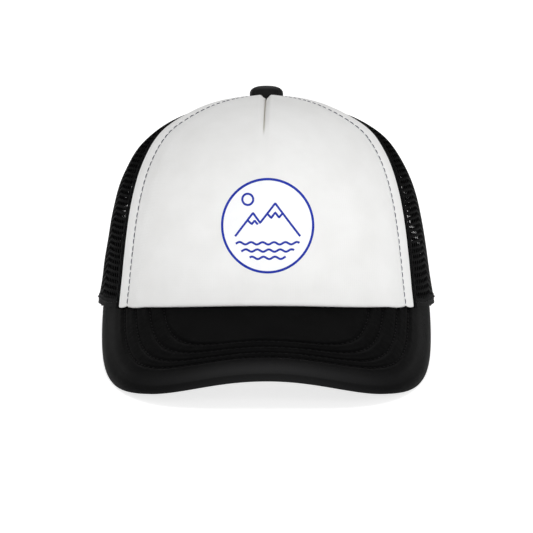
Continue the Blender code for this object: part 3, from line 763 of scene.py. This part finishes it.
def make_mesh_panels(mat):
    net, thread = mat["black_mesh"], mat["black_thread"]
    arch_top = float(t_at(180.0, ARCH_HEIGHT + 0.8))
    for side, word in ((1, "left"), (-1, "right")):

        def between(angle, t, low, high):
            """Inside two seams, short of the button."""
            a, near = side * angle, 1.0 / degree(angle, t)
            return (a > low + near) & (a < high - near) & (t < top_t(angle, 4.5))

        def in_side(angle, t):
            return between(angle, t, front_seam(t), REAR_SEAM) & (t > 0.008)

        def in_rear(angle, t):
            return between(angle, t, REAR_SEAM, 180) & (t > 0.012) & ~in_arch(angle, t)

        panel, area = make_net(f"{word}_side_net", side * 90.0, in_side, f"{word}_side_mesh", net, 21 + side)
        panel, area = make_net(f"{word}_rear_net", side * 151.0, in_rear, f"{word}_rear_mesh", net, 31 + side)

        def front(t):
            return side * front_seam(t)

        rear, centre = at_angle(side * REAR_SEAM), at_angle(side * 180.0)
        band(f"{word}_side_net_front_edge", front, side, 0.0, net, rear)
        band(f"{word}_side_net_rear_edge", rear, -side, 0.008, net, front)
        band(f"{word}_rear_net_edge", rear, side, 0.008, net, centre)
        band(f"{word}_rear_net_centre_edge", centre, -side, arch_top, net, rear)
        for seam, way, tag, foot in (
            (front, side, f"front_seam_stitch_{'a' if side > 0 else 'b'}", 0.004),
            (rear, 1, "rear_seam_stitch_a", 0.012),
            (rear, -1, "rear_seam_stitch_b", 0.012),
            (centre, -side, "centre_seam_stitch", arch_top),
        ):
            path, normal = seam_path(seam, way * 2.6, foot, 0.93, rise=0.18)
            stitches(f"{word}_{tag}", path, normal, thread)


# ---- tapes and bindings ----

TAPE_LEVEL, TAPE_STITCH = -2.25, 0.55  # the inner face, and where the stitches run on the half width


def seam_tape(name, seam, low, node, mat):
    t = np.linspace(low, float(top_t(90.0, 6.3)), 200)
    centre = seam(t)
    half = np.minimum(7.0 / degree(centre, t), 24.0)
    across = np.linspace(-1, 1, 15)
    angle = centre[:, None] + half[:, None] * across
    tt = t[:, None] * np.ones(15)
    wavy = 0.12 * waves(bare_crown(angle, tt), 14.0, 41)
    crease = 0.3 * bump(across, 0.12) - 0.25 * bump(np.abs(across) - TAPE_STITCH, 0.12)
    inner = crown(angle, tt, TAPE_LEVEL - (crease - 0.35 * np.abs(across) ** 6) + wavy)
    outer = crown(angle, tt, -1.5 + wavy * 0.3)
    obj = shell(name, outer, inner, mat["black_tape"])
    outward(obj)
    on_cap(obj, "black_tape", node)
    for way in (-1, 1):
        side = centre + way * half * TAPE_STITCH
        path = crown(side, t, TAPE_LEVEL + 0.12 * waves(bare_crown(side, t), 14.0, 41))
        letter = "a" if way > 0 else "b"
        stitches(f"{name}_stitch_{letter}", path, -crown_normal(side, t), mat["black_thread"])


def make_seam_tapes(mat):
    low = float(t_at(60.0, 4.0))
    for side, word in ((1, "left"), (-1, "right")):
        seam_tape(f"{word}_front_tape", lambda t: side * front_seam(t), low, f"{word}_front_seam_tape", mat)
        seam_tape(f"{word}_rear_tape", at_angle(side * REAR_SEAM), low, f"{word}_rear_seam_tape", mat)
    low = float(t_at(180.0, ARCH_HEIGHT + 4.0))
    seam_tape("centre_tape", at_angle(180.0), low, "centre_back_seam_tape", mat)


def binding_section():
    """(out, height) round a folded binding."""
    turn = np.linspace(0, math.pi, 9)
    bottom = np.stack([-1.20 + 0.72 * np.cos(turn), 1.02 - 1.0 * np.sin(turn)], -1)
    outside = np.stack([np.array([-0.04, -0.02, -0.08, -0.24, -0.46]), np.linspace(5.0, 1.8, 5)], -1)
    inside = np.stack([np.linspace(-1.9, -1.6, 5), np.linspace(1.8, 5.0, 5)], -1)
    return folded_section(np.concatenate([outside, bottom, inside]), 0.24)


def make_bindings(mat):
    section = binding_section()
    first = FRONT_SEAM + 0.5
    last = float(rear_angle(ARCH_HALF_WIDTH + 3.0))
    for side, word in ((1, "left"), (-1, "right")):
        angle = np.linspace(first, last, 150)[:, None] * side * np.ones(len(section))
        height = np.broadcast_to(section[:, 1], angle.shape)
        t = t_at(angle, np.maximum(height, 0.0))
        rings = crown(angle, t, section[:, 0] + 0.05 * waves(bare_crown(angle, t), 6.0, 51))
        on_visor = smooth((78.5 - np.abs(angle)) / 4)
        rings[..., 2] -= 1.2 * on_visor * np.clip(1 - height / 4, 0, 1)
        obj = swept(f"{word}_hem_fold", rings, mat["black_tape"])
        on_cap(obj, "black_tape", f"{word}_hem_binding")
        line = np.linspace(first + 0.5, last - 1, 500) * side
        tt = t_at(line, 3.4)
        stitches(f"{word}_hem_stitch", crown(line, tt, 0.22), crown_normal(line, tt), mat["black_thread"])
    turn = np.linspace(0.0, math.pi, 240)[:, None] * np.ones(len(section))
    reach = np.broadcast_to(section[:, 1], turn.shape)
    obj = swept("rear_opening_fold", arch_place(turn, reach, section[:, 0]), mat["black_tape"])
    on_cap(obj, "black_tape", "rear_arch_binding")
    line = np.linspace(0.04, math.pi - 0.04, 600)
    path = arch_place(line, np.full(600, 3.4), np.full(600, 0.22))
    inner = arch_place(line, np.full(600, 3.4), np.full(600, -0.4))
    stitches("rear_opening_stitch", path, unit(path - inner), mat["black_thread"])


def arch_place(turn, reach, out):
    """A point round the half-moon opening: reach is the distance from its edge."""
    x = (ARCH_HALF_WIDTH + reach) * np.cos(turn)
    height = (ARCH_HEIGHT + reach) * np.sin(turn)
    angle = 180 - np.degrees(np.arcsin(x / HALF_WIDTH))
    return crown(angle, t_at(angle, np.maximum(height, 0.0)), out)


# ---- sweatband and label ----

BAND_SEAMS = (3.2, 26.5)  # heights of the sweatband's two stitch lines
BAND_FOOT, BAND_TOP, BAND_FACE = 1.0, 28.6, -5.1  # the last is the level of its inner face


def sweatband_softness(place):
    return 0.45 * waves(place * (1, 1, 0.35), 16.0, 61) + 0.12 * waves(place * (1, 1, 0.3), 4.0, 62)


def make_sweatband(mat):
    end = float(rear_angle(ARCH_HALF_WIDTH + 1.0))
    turn = np.linspace(0, math.pi, 9)
    outside = np.stack([np.full(9, -3.6), np.linspace(BAND_FOOT, BAND_TOP, 9)], -1)
    top = np.stack([-4.35 + 0.75 * np.cos(turn), 29.2 + 0.8 * np.sin(turn)], -1)
    inside = np.stack([np.full(17, BAND_FACE), np.linspace(BAND_TOP, BAND_FOOT, 17)], -1)
    section = np.concatenate([outside, top, inside])
    angle = np.linspace(-end, end, 420)[:, None] * np.ones(len(section))
    height = np.broadcast_to(section[:, 1], angle.shape)
    t = t_at(angle, height)
    inside_share = smooth((-3.8 - section[:, 0]) / 1.0)
    low, high = BAND_SEAMS
    seams = 0.55 * bump(height - low, 0.9) + 0.5 * bump(height - high, 0.9)
    puff = -0.5 * np.sin(np.clip((height - low) / (high - low), 0, 1) * math.pi) ** 0.6
    soft = sweatband_softness(bare_crown(angle, t))
    rings = crown(angle, t, section[:, 0] + inside_share * (puff + soft * 0.6 + seams))
    obj = swept("sweatband_pad", rings, mat["black_twill"])
    on_cap(obj, "black_twill", "sweatband", "sweatband_interlining")
    line = np.linspace(-end + 1, end - 1, 900)
    for seam, tag in zip(BAND_SEAMS, ("low", "high")):
        tt = t_at(line, seam)
        path = crown(line, tt, BAND_FACE + 0.55 + sweatband_softness(bare_crown(line, tt)) * 0.6)
        normal = -crown_normal(line, tt)
        stitches(f"sweatband_{tag}_stitch", path, normal, mat["black_thread"], length=2.8)


def make_label(mat):
    """A satin tag hanging from the sweatband, slightly curled."""
    middle, width, length = 108.0, 20.0, 21.0
    u, v = np.meshgrid(np.linspace(-0.5, 0.5, 25), np.linspace(0, 1, 31))
    start = float(t_at(middle, 28.0))
    normal = crown_normal(np.array(middle), np.array(start))
    across = unit(np.cross((0, 0, 1.0), normal))
    top = crown(middle, start, -6.3)
    curl = 1.6 * v**2 + 0.5 * np.sin(u * 5.0) * v
    point = top + across * (u * width)[..., None] - np.array((0, 0, 1.0)) * (v * length)[..., None]
    point = point - normal * curl[..., None]
    obj = shell("care_tag", point, point - normal * 0.25, mat["label_satin"])
    outward(obj)
    on_cap(obj, "label_satin", "care_label")


# ---- visor ----


def visor_place(x, run, depth):
    drop, slope = arch(x)
    length = np.hypot(1.0, slope)
    x, drop = x - depth * slope / length, drop + depth / length
    y = -HALF_LENGTH - run * math.cos(VISOR_SLOPE) + drop * math.sin(VISOR_SLOPE)
    z = VISOR_RISE - run * math.sin(VISOR_SLOPE) - drop * math.cos(VISOR_SLOPE)
    return np.stack([x, y, z], -1)


def visor_root(x, inset):
    y = -(HALF_LENGTH - inset) * np.sqrt(1 - (x / HALF_WIDTH) ** 2)
    return (arch(x)[0] * math.sin(VISOR_SLOPE) - HALF_LENGTH - y) / math.cos(VISOR_SLOPE)


VISOR_START = float(visor_root(np.array(VISOR_END_X), 0.0))


def rim_size(inset):
    """(half width, length) of the outline this far inside the edge."""
    rows = (-10.0, 0.0, *VISOR_ROWS, 70.0)
    side = np.interp(inset, rows, (-10.0, 0.0, *SIDE_INSETS, 70.0))
    front = np.interp(inset, rows, (-10.0, 0.0, *FRONT_INSETS, 70.0))
    return VISOR_HALF_WIDTH - side, VISOR_REACH - VISOR_START - front


def front_power(inset):
    """The rows turn their corners more squarely than the visor's edge does."""
    return np.interp(inset, (0.0, 4.0, 12.0, 70.0), (VISOR_FRONT_POWER, VISOR_FRONT_POWER, 3.9, 4.1))


def visor_rim(turn, inset):
    """(x, run) of the rim or a row inside it; turn is 0 at the wearer's left end and pi at the right."""
    wide, long = rim_size(inset)
    c, s = np.cos(turn), np.sin(turn)
    x = wide * np.sign(c) * np.abs(c) ** (2 / VISOR_SIDE_POWER)
    return x, VISOR_START + long * np.abs(s) ** (2 / front_power(inset))


def even_turns(count, inset=0.0):
    """Turns that lie evenly along the rim."""
    turn = math.pi * (0.5 - 0.5 * np.cos(np.linspace(0, math.pi, 4000)))
    x, run = visor_rim(turn, inset)
    gone = distances(np.stack([x, run], -1))
    return np.interp(np.linspace(0, gone[-1], count), gone, turn)


def visor_inset(x, run):
    """How far inside the rim a point is, measured as the stitch rows are."""

    def outside(inset):
        wide, long = rim_size(inset)
        a = (np.abs(x) / wide) ** VISOR_SIDE_POWER
        b = (np.maximum(run - VISOR_START, 0) / long) ** front_power(inset)
        return a + b < 1

    return solve(np.zeros(np.shape(x)), np.full(np.shape(x), 70.0), outside, 26)


EDGE_DROOP = 1.15  # how far the cover sinks towards the front edge


def visor_relief(x, run, seed, droop=EDGE_DROOP):
    """Depth of the cover under its plain surface: sewn channels, soft ridges between, fine puckers."""
    inset = visor_inset(x, run)
    flat = np.stack([x, run], -1)
    near = sum(bump(inset - row, 0.75) for row in VISOR_ROWS)
    below = sum(bump(inset - row + 1.7, 1.1) for row in VISOR_ROWS)
    wide = sum(bump(inset - row, 2.8) for row in VISOR_ROWS)
    pucker = waves(flat, 3.2, seed) * 0.055 + waves(flat, 8.0, seed + 1) * 0.05
    ahead = smooth((run - VISOR_START - 55.0) / 50.0)
    plump = 0.45 * bump(inset - 8.5, 4.0) - droop * ahead * (1 - np.clip(inset / 8.5, 0, 1)) ** 2
    soft = 0.07 * waves(flat, 34.0, seed + 2)
    return 0.68 * near - 0.16 * below + np.clip(wide, 0, 1.2) * pucker - plump + soft


ROLL_INSET = 2.2  # where a cover stops being flat and starts to roll round the rim
COVER_THICKNESS = 0.4


def visor_grid(columns, rows):
    """(turn, x, run) of a cover's flat part, from the crown out."""
    turn = even_turns(columns)
    rim_x, rim_run = visor_rim(turn, ROLL_INSET)
    root_x = 0.998 * rim_x.max() * np.cos(np.linspace(0, math.pi, columns))
    root_run = np.minimum(visor_root(root_x, 3.0), rim_run - 2.0)
    v = np.linspace(0, 1, rows)[:, None]
    return turn, root_x + (rim_x - root_x) * v, root_run + (rim_run - root_run) * v


def visor_sheet(columns, rows, roll, seed, under):
    """(outer, inner) points of a cover, out to the rim and then round it: roll is in half circles."""
    turn, x, run = visor_grid(columns, rows)
    ends = smooth((VISOR_END_X - np.abs(x)) / 10 + 0.1)
    depth = visor_relief(x, run, seed, 0.0 if under else EDGE_DROOP) * ends
    base = depth[-1]
    flat = VISOR_THICKNESS - 0.6 * depth if under else depth
    lining = flat + (-COVER_THICKNESS if under else COVER_THICKNESS)
    outer, inner = [visor_place(x, run, flat)], [visor_place(x, run, lining)]
    for turned in roll:
        a = math.pi * turned
        round_rim = (1 - math.cos(a)) / 2
        depth = VISOR_THICKNESS * round_rim + base * (-0.6 * round_rim if under else 1 - round_rim)
        for parts, thick in ((outer, 0.0), (inner, COVER_THICKNESS)):
            x, run = visor_rim(turn, ROLL_INSET * (1 - math.sin(a)) + thick * math.sin(a))
            slope = arch(x)[1]
            x = x + ROLL_OUT * math.sin(a) * VISOR_THICKNESS * slope / np.hypot(1, slope)
            parts.append(visor_place(x, run, depth + thick * math.cos(a))[None])
    return np.concatenate(outer), np.concatenate(inner)


def painted_edge_highlight(columns, rows, rolled):
    """Painted highlight on the cover: a soft band along the front edge, strongest in the middle."""
    turn, x, run = visor_grid(columns, rows)
    inset = visor_inset(x, run)
    inset = np.concatenate([inset, np.repeat(inset[-1:] - 2.0, rolled, axis=0)])
    return bump(inset - 4.2, 4.4) * np.abs(np.sin(turn)) ** 3 * (0.45 + 0.55 * bump(x[-1], 42.0))


def make_visor(mat):
    roll = 13
    upper = visor_sheet(321, 110, np.linspace(0.06, 0.80, roll), 71, under=False)
    lower = visor_sheet(241, 80, np.linspace(0.97, 0.80, 4), 81, under=True)
    # painted highlight along the top cover's front edge; the underside gets none
    cover_highlight, no_highlight = painted_edge_highlight(321, 110, roll), np.zeros(lower[0].shape[:2])
    for name, sheet, highlight, nodes in (
        ("visor_cover", upper, cover_highlight, ("visor_top_cover", "visor_padding", "visor_board")),
        ("visor_underside", lower, no_highlight, ("visor_under_cover",)),
    ):
        obj = shell(name, *sheet, mat["black_knit"])
        outward(obj)
        on_cap(obj, "black_knit", *nodes)
        # paints the highlight into the cover's colour
        mark(obj, "painted_edge_highlight", highlight)
    for number, row in enumerate(VISOR_ROWS, 1):
        x, run = visor_rim(even_turns(900, row), row)
        keep = run > visor_root(np.clip(x, -81, 81), 0.0) + 0.8
        x, run = x[keep], run[keep]
        top = visor_place(x, run, visor_relief(x, run, 71) - 0.05)
        under = visor_place(x, run, VISOR_THICKNESS - 0.6 * visor_relief(x, run, 81) + 0.05)
        normal = unit(visor_place(x, run, np.zeros(len(x))) - visor_place(x, run, np.ones(len(x))))
        for tag, path, up in (("top", top, normal), ("under", under, -normal)):
            name = f"visor_row_{number}_{tag}"
            stitches(name, path, up, mat["black_thread"], length=2.3, gap=0.8, radius=0.25)


# ---- button ----


def make_button(mat, frame):
    apex = bare_crown(np.array(0.0), np.array(1.0))
    sides = 144
    turn = circle(sides)
    radius, base, side, top = 8.3, 0.9, 1.9, 7.1
    share = np.linspace(0, math.pi / 2, 20)
    round_top = top - base - side
    profile = [(radius * math.sin(a) ** 0.78, base + side + round_top * math.cos(a) ** 0.8) for a in share]
    profile += [(8.25, base + 1.2), (8.0, base + 0.6), (7.5, base + 0.25), (6.8, base + 0.05), (5.6, base)]
    profile = np.array(profile)
    profile[0, 0] = 0.02
    r, z = profile[:, 0][:, None], profile[:, 1][:, None]
    low = smooth((6.2 - (z - base)) / 4.5) * (r > 3)
    pleats = 0.10 * np.sin(turn * 11 + 0.6 * np.sin(turn * 3)) + 0.07 * np.sin(turn * 17 + 1.3)
    rr = r * (1 + 0.004 * np.sin(turn * 2 + 0.5)) + low * pleats
    zz = z + 0.06 * np.sin(turn * 5 + 1) * low
    points = apex + np.stack([rr * np.cos(turn), rr * np.sin(turn), zz], -1)
    rows = len(profile)
    faces = tube_faces(rows, sides).tolist()
    faces.append(list(range(sides)))
    faces.append([(rows - 1) * sides + k for k in range(sides)][::-1])
    uv = np.stack([rr * np.cos(turn), rr * np.sin(turn)], -1).reshape(-1, 2) * MM
    obj = add_mesh("button_dome", points.reshape(-1, 3), faces, mat["button_knit"], uv)
    outward(obj)
    on_cap(obj, "black_knit", "button_cover", "button_shell")
    for node in ("button_tack", "button_back_plate"):
        frame["nodes"][node].data.materials.clear()
        frame["nodes"][node].data.materials.append(mat["button_metal"])


# ---- snap strap ----

TURNS = np.linspace(0, math.pi / 2, 6000)
TURN_SPEED = np.hypot(HALF_WIDTH * np.cos(TURNS[1:]), HALF_LENGTH * np.sin(TURNS[1:]))
TURN_LENGTH = summed(TURN_SPEED * (TURNS[1] - TURNS[0]))


def strap_place(run, height, out):
    """A point of the strap's path, run millimetres along the hem from the middle of the back."""
    turn = np.sign(run) * np.interp(np.abs(run), TURN_LENGTH, TURNS)
    angle = 180 - np.degrees(turn)
    return crown(angle, t_at(angle, height), out)


HINGE_ALONG = float(np.interp(math.asin(HINGE_X / HALF_WIDTH), TURNS, TURN_LENGTH))


def flat_bar(name, first, last, holes, tip):
    """A flat bar with rounded edges, one round tip and round holes, as a mesh in millimetres."""
    curve = bpy.data.curves.new(name, "CURVE")
    curve.dimensions = "2D"
    curve.fill_mode = "BOTH"
    corner, bevel = 5.5, 0.22
    curve.extrude = STRAP_THICKNESS / 2 - bevel
    curve.bevel_depth = bevel
    curve.bevel_resolution = 2
    curve.offset = -bevel
    ends = (last, first) if tip > 0 else (first, last)
    sign = 1 if tip > 0 else -1
    outline = []
    for centre, start in ((STRAP_HIGH - corner, 90), (STRAP_LOW + corner, 0)):
        for a in np.radians(np.linspace(start, start - 90, 9)):
            outline.append((ends[0] + sign * (-corner + corner * math.cos(a)), centre + corner * math.sin(a)))
    outline += [(ends[1], STRAP_LOW), (ends[1], STRAP_HIGH)]
    loops = [outline]
    for x, y, radius in holes:
        loops.append([(x + radius * math.cos(a), y + radius * math.sin(a)) for a in circle(32)])
    for loop in loops:
        spline = curve.splines.new("POLY")
        spline.points.add(len(loop) - 1)
        spline.points.foreach_set("co", [c for x, y in loop for c in (x, y, 0, 1)])
        spline.use_cyclic_u = True
    obj = in_scene(name, curve)
    graph = bpy.context.evaluated_depsgraph_get()
    mesh = bpy.data.meshes.new_from_object(obj.evaluated_get(graph))
    bpy.data.objects.remove(obj)
    return mesh


def bend_strap(name, mesh, jog, studs, material):
    """Cuts the flat mesh finely along its length, bends it round the crown, and adds the studs."""
    bm = bmesh.new()
    bm.from_mesh(mesh)
    bmesh.ops.remove_doubles(bm, verts=bm.verts, dist=1e-4)
    low, high = min(v.co.x for v in bm.verts), max(v.co.x for v in bm.verts)
    cuts = [((x, 0, 0), (1, 0, 0)) for x in np.arange(low + 1.0, high - 0.5, 1.6)]
    cuts += [((0, y, 0), (0, 1, 0)) for y in (STRAP_LOW + 1, 8.5, 11.5, 14.5, STRAP_HIGH - 1)]
    for place, way in cuts:
        everything = [*bm.verts, *bm.edges, *bm.faces]
        bmesh.ops.bisect_plane(bm, geom=everything, plane_co=place, plane_no=way, dist=1e-5)
    for x in studs:
        add_stud(bm, x, STRAP_MIDDLE)
    co = np.array([v.co for v in bm.verts])
    bent = strap_place(co[:, 0], co[:, 1], jog(co[:, 0]) + co[:, 2])
    for v, place in zip(bm.verts, to_row(bent)):
        v.co = place
    bmesh.ops.recalc_face_normals(bm, faces=bm.faces)
    new = bpy.data.meshes.new(name)
    bm.to_mesh(new)
    bm.free()
    new.materials.clear()
    new.materials.append(material)
    new.shade_smooth()
    new.set_sharp_from_angle(angle=math.radians(40))
    return in_scene(name, new)


STUD_PROFILE = (  # (radius, height)
    *((2.5, 0.45), (2.25, 0.62), (2.05, 0.8), (1.95, 1.2), (2.0, 1.6), (2.12, 1.9)),
    *((2.15, 2.2), (2.0, 2.6), (1.6, 2.95), (0.9, 3.12), (0.02, 3.16)),
)


def add_stud(bm, x, y):
    """A mushroom-shaped stud standing on the outer face."""
    rings = []
    for r, z in STUD_PROFILE:
        rings.append([bm.verts.new((x + r * math.cos(a), y + r * math.sin(a), z)) for a in circle(20)])
    for a, b in zip(rings, rings[1:]):
        for k in range(20):
            bm.faces.new((a[k], a[(k + 1) % 20], b[(k + 1) % 20], b[k]))
    bm.faces.new(rings[0][::-1])
    bm.faces.new(rings[-1])


def make_straps(mat):
    places = [STUD_FIRST - k * STUD_PITCH for k in range(STUD_COUNT)]
    outer = STRAP_LAYER + STRAP_THICKNESS + 0.3
    far = HINGE_ALONG + FLANGE_LENGTH
    plastic = mat["black_plastic"]

    def socket_jog(x):
        return STRAP_LAYER + (outer - STRAP_LAYER) * smooth((x + HINGE_ALONG - 3) / 18)

    sockets = flat_bar("socket_bar", -far, STRAP_TIP, [(x, STRAP_MIDDLE, 2.7) for x in places], 1)
    socket = bend_strap("socket_strap_moulding", sockets, socket_jog, (), plastic)
    studs = flat_bar("stud_bar", -STRAP_TIP, far, [], -1)
    stud = bend_strap("stud_strap_moulding", studs, lambda x: STRAP_LAYER, [-x for x in places], plastic)
    for obj, name, side in ((socket, "socket_strap", -1), (stud, "stud_strap", 1)):
        start, end = (
            to_row(strap_place(side * (HINGE_ALONG + half), STRAP_MIDDLE, STRAP_LAYER))
            for half in (0.5, -0.5)
        )
        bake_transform(obj)
        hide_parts(name, f"{name}_flange")


# ---- print ----

PRINT_X, PRINT_Z, PRINT_RADIUS = 0.6, 45.3, 22.3


def on_panel(x, up, out):
    """A point of the front panel at this x and this far above the print's middle, as seen from the front."""
    angle = np.degrees(np.arcsin(np.clip(x / 80.0, -1, 1)))
    for _ in range(8):
        t = t_at(angle, PRINT_Z + up - bare_crown(angle, np.zeros_like(angle))[..., 2])
        point = front_place(angle, t, out)
        angle = angle + np.degrees((x - point[..., 0]) / 78.0)
    t = t_at(angle, PRINT_Z + up - bare_crown(angle, np.zeros_like(angle))[..., 2])
    return front_place(angle, t, out)


def print_patch(name, flat, faces, material, out, *nodes):
    """A printed shape: flat points in millimetres from the print's middle, laid on the panel."""
    points = on_panel(PRINT_X + flat[:, 0], flat[:, 1] * 0.985, np.full(len(flat), out))
    on_cap(add_mesh(name, points, faces, material, flat * MM), "print_film", *nodes)


def ring_shape(low, high, rows, count=128):
    radius = np.linspace(low, high, rows)
    turn = np.linspace(0, 2 * math.pi, count + 1)
    flat = np.stack([radius[:, None] * np.sin(turn), radius[:, None] * np.cos(turn)], -1)
    return flat.reshape(-1, 2), grid_faces(rows, count + 1)


def ribbon_shape(lines, width):
    """Lines of even width, as strips of short quads."""
    flats, faces, start = [], [], 0
    for line in lines:
        line = np.array(line, float)
        gone = distances(line)
        place = np.unique(np.concatenate([np.arange(0, gone[-1], 0.8), gone]))
        path = along(place, gone, line)
        way = unit(np.gradient(path, axis=0))
        side = np.stack([-way[:, 1], way[:, 0]], -1)
        across = np.linspace(-0.5, 0.5, 3)
        points = path[:, None] + side[:, None] * across[None, :, None] * width
        flats.append(points.reshape(-1, 2))
        faces.append(grid_faces(len(path), 3, start=start, flip=True))
        start += len(path) * 3
    return np.concatenate(flats), np.concatenate(faces)


def make_print(mat):
    """A generic round badge: mountains, a sun and water inside one ring."""
    flat, faces = ring_shape(0.0, PRINT_RADIUS, 30)
    print_patch("print_ground", flat, faces, mat["print_white"], 0.03, "front_print_film")
    flat, faces = ring_shape(PRINT_RADIUS - 1.15, PRINT_RADIUS, 3, 192)
    print_patch("print_ring", flat, faces, mat["print_blue"], 0.07)
    peaks = [
        [(-15.5, -5.0), (-7.0, 6.0), (-3.6, 1.4), (3.6, 10.5), (15.5, -5.0)],
        [(-9.6, 2.6), (-7.6, 0.8), (-6.2, 2.4), (-4.7, 0.6)],
        [(-0.2, 5.7), (1.7, 3.7), (3.6, 6.2), (5.4, 3.9), (7.2, 5.9)],
    ]
    turn = np.linspace(0, 2 * math.pi, 40)
    sun = [list(zip(-9.5 + 2.6 * np.cos(turn), 12.3 + 2.6 * np.sin(turn)))]
    x = np.linspace(-1, 1, 60)
    water = [
        list(zip(x * wide, high + 0.55 * np.sin(x * wide * 1.15 + high)))
        for wide, high in ((15.2, -8.2), (12.6, -11.6), (8.6, -15.0))
    ]
    for name, lines in (("print_peaks", peaks), ("print_sun", sun), ("print_water", water)):
        flat, faces = ribbon_shape(lines, 1.0)
        print_patch(name, flat, faces, mat["print_blue"], 0.07)


# ---- studio ----


def make_studio(mat):
    mesh = bpy.data.meshes.new("studio_floor")
    mesh.from_pydata([(-3, -3, 0), (3, -3, 0), (3, 3, 0), (-3, 3, 0)], [], [(0, 1, 2, 3)])
    mesh.materials.append(mat["floor_white"])
    floor = in_scene("studio_floor", mesh)
    world = bpy.data.worlds.new("studio")
    world.use_nodes = True
    background = world.node_tree.nodes["Background"]
    background.inputs["Color"].default_value = (1.0, 1.0, 1.0, 1)
    background.inputs["Strength"].default_value = 0.38
    bpy.context.scene.world = world
    for name, place, size, power in (
        ("key_light", (0.9, -1.9, 0.7), 1.0, 14.9),
        ("fill_light", (-1.2, -1.6, 0.6), 1.2, 4.2),
        ("strip_light", (0.0, -0.85, 1.75), 0.4, 7.2),
        ("back_light", (0.0, 1.7, 1.6), 1.6, 10.0),
    ):
        light = bpy.data.lights.new(name, "AREA")
        light.size = size
        light.energy = power
        obj = in_scene(name, light)
        obj.location = place
        aim = Vector((0, 0, 0.06)) - Vector(place)
        obj.rotation_euler = aim.to_track_quat("-Z", "Y").to_euler()
    bpy.context.scene.view_settings.view_transform = "Standard"


def make_camera():
    """Straight in front, five degrees above the plane of the crown's hem, two metres away."""
    rise = math.radians(5.0)
    at = np.array((0.0, -math.cos(rise), math.sin(rise))) * 2000.0
    target = np.array((0.05, math.sin(rise) * 18.6, math.cos(rise) * 18.6))
    place, aim = Vector(to_row(at)), Vector(to_row(target))
    lens = bpy.data.cameras.new("photo_camera")
    lens.sensor_width = 36.0
    lens.lens = 269.4
    lens.clip_end = 20.0
    camera = in_scene("photo_camera", lens)
    camera.location = place
    camera.rotation_euler = (aim - place).to_track_quat("-Z", "Y").to_euler()
    bpy.context.scene.camera = camera


def main():
    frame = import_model()
    mat = make_materials()
    make_camera()
    make_studio(mat)
    make_front_panel(mat)
    front_panel_stitches(mat)
    make_print(mat)
    make_mesh_panels(mat)
    make_seam_tapes(mat)
    make_bindings(mat)
    make_sweatband(mat)
    make_label(mat)
    make_visor(mat)
    make_button(mat, frame)
    make_straps(mat)


main()
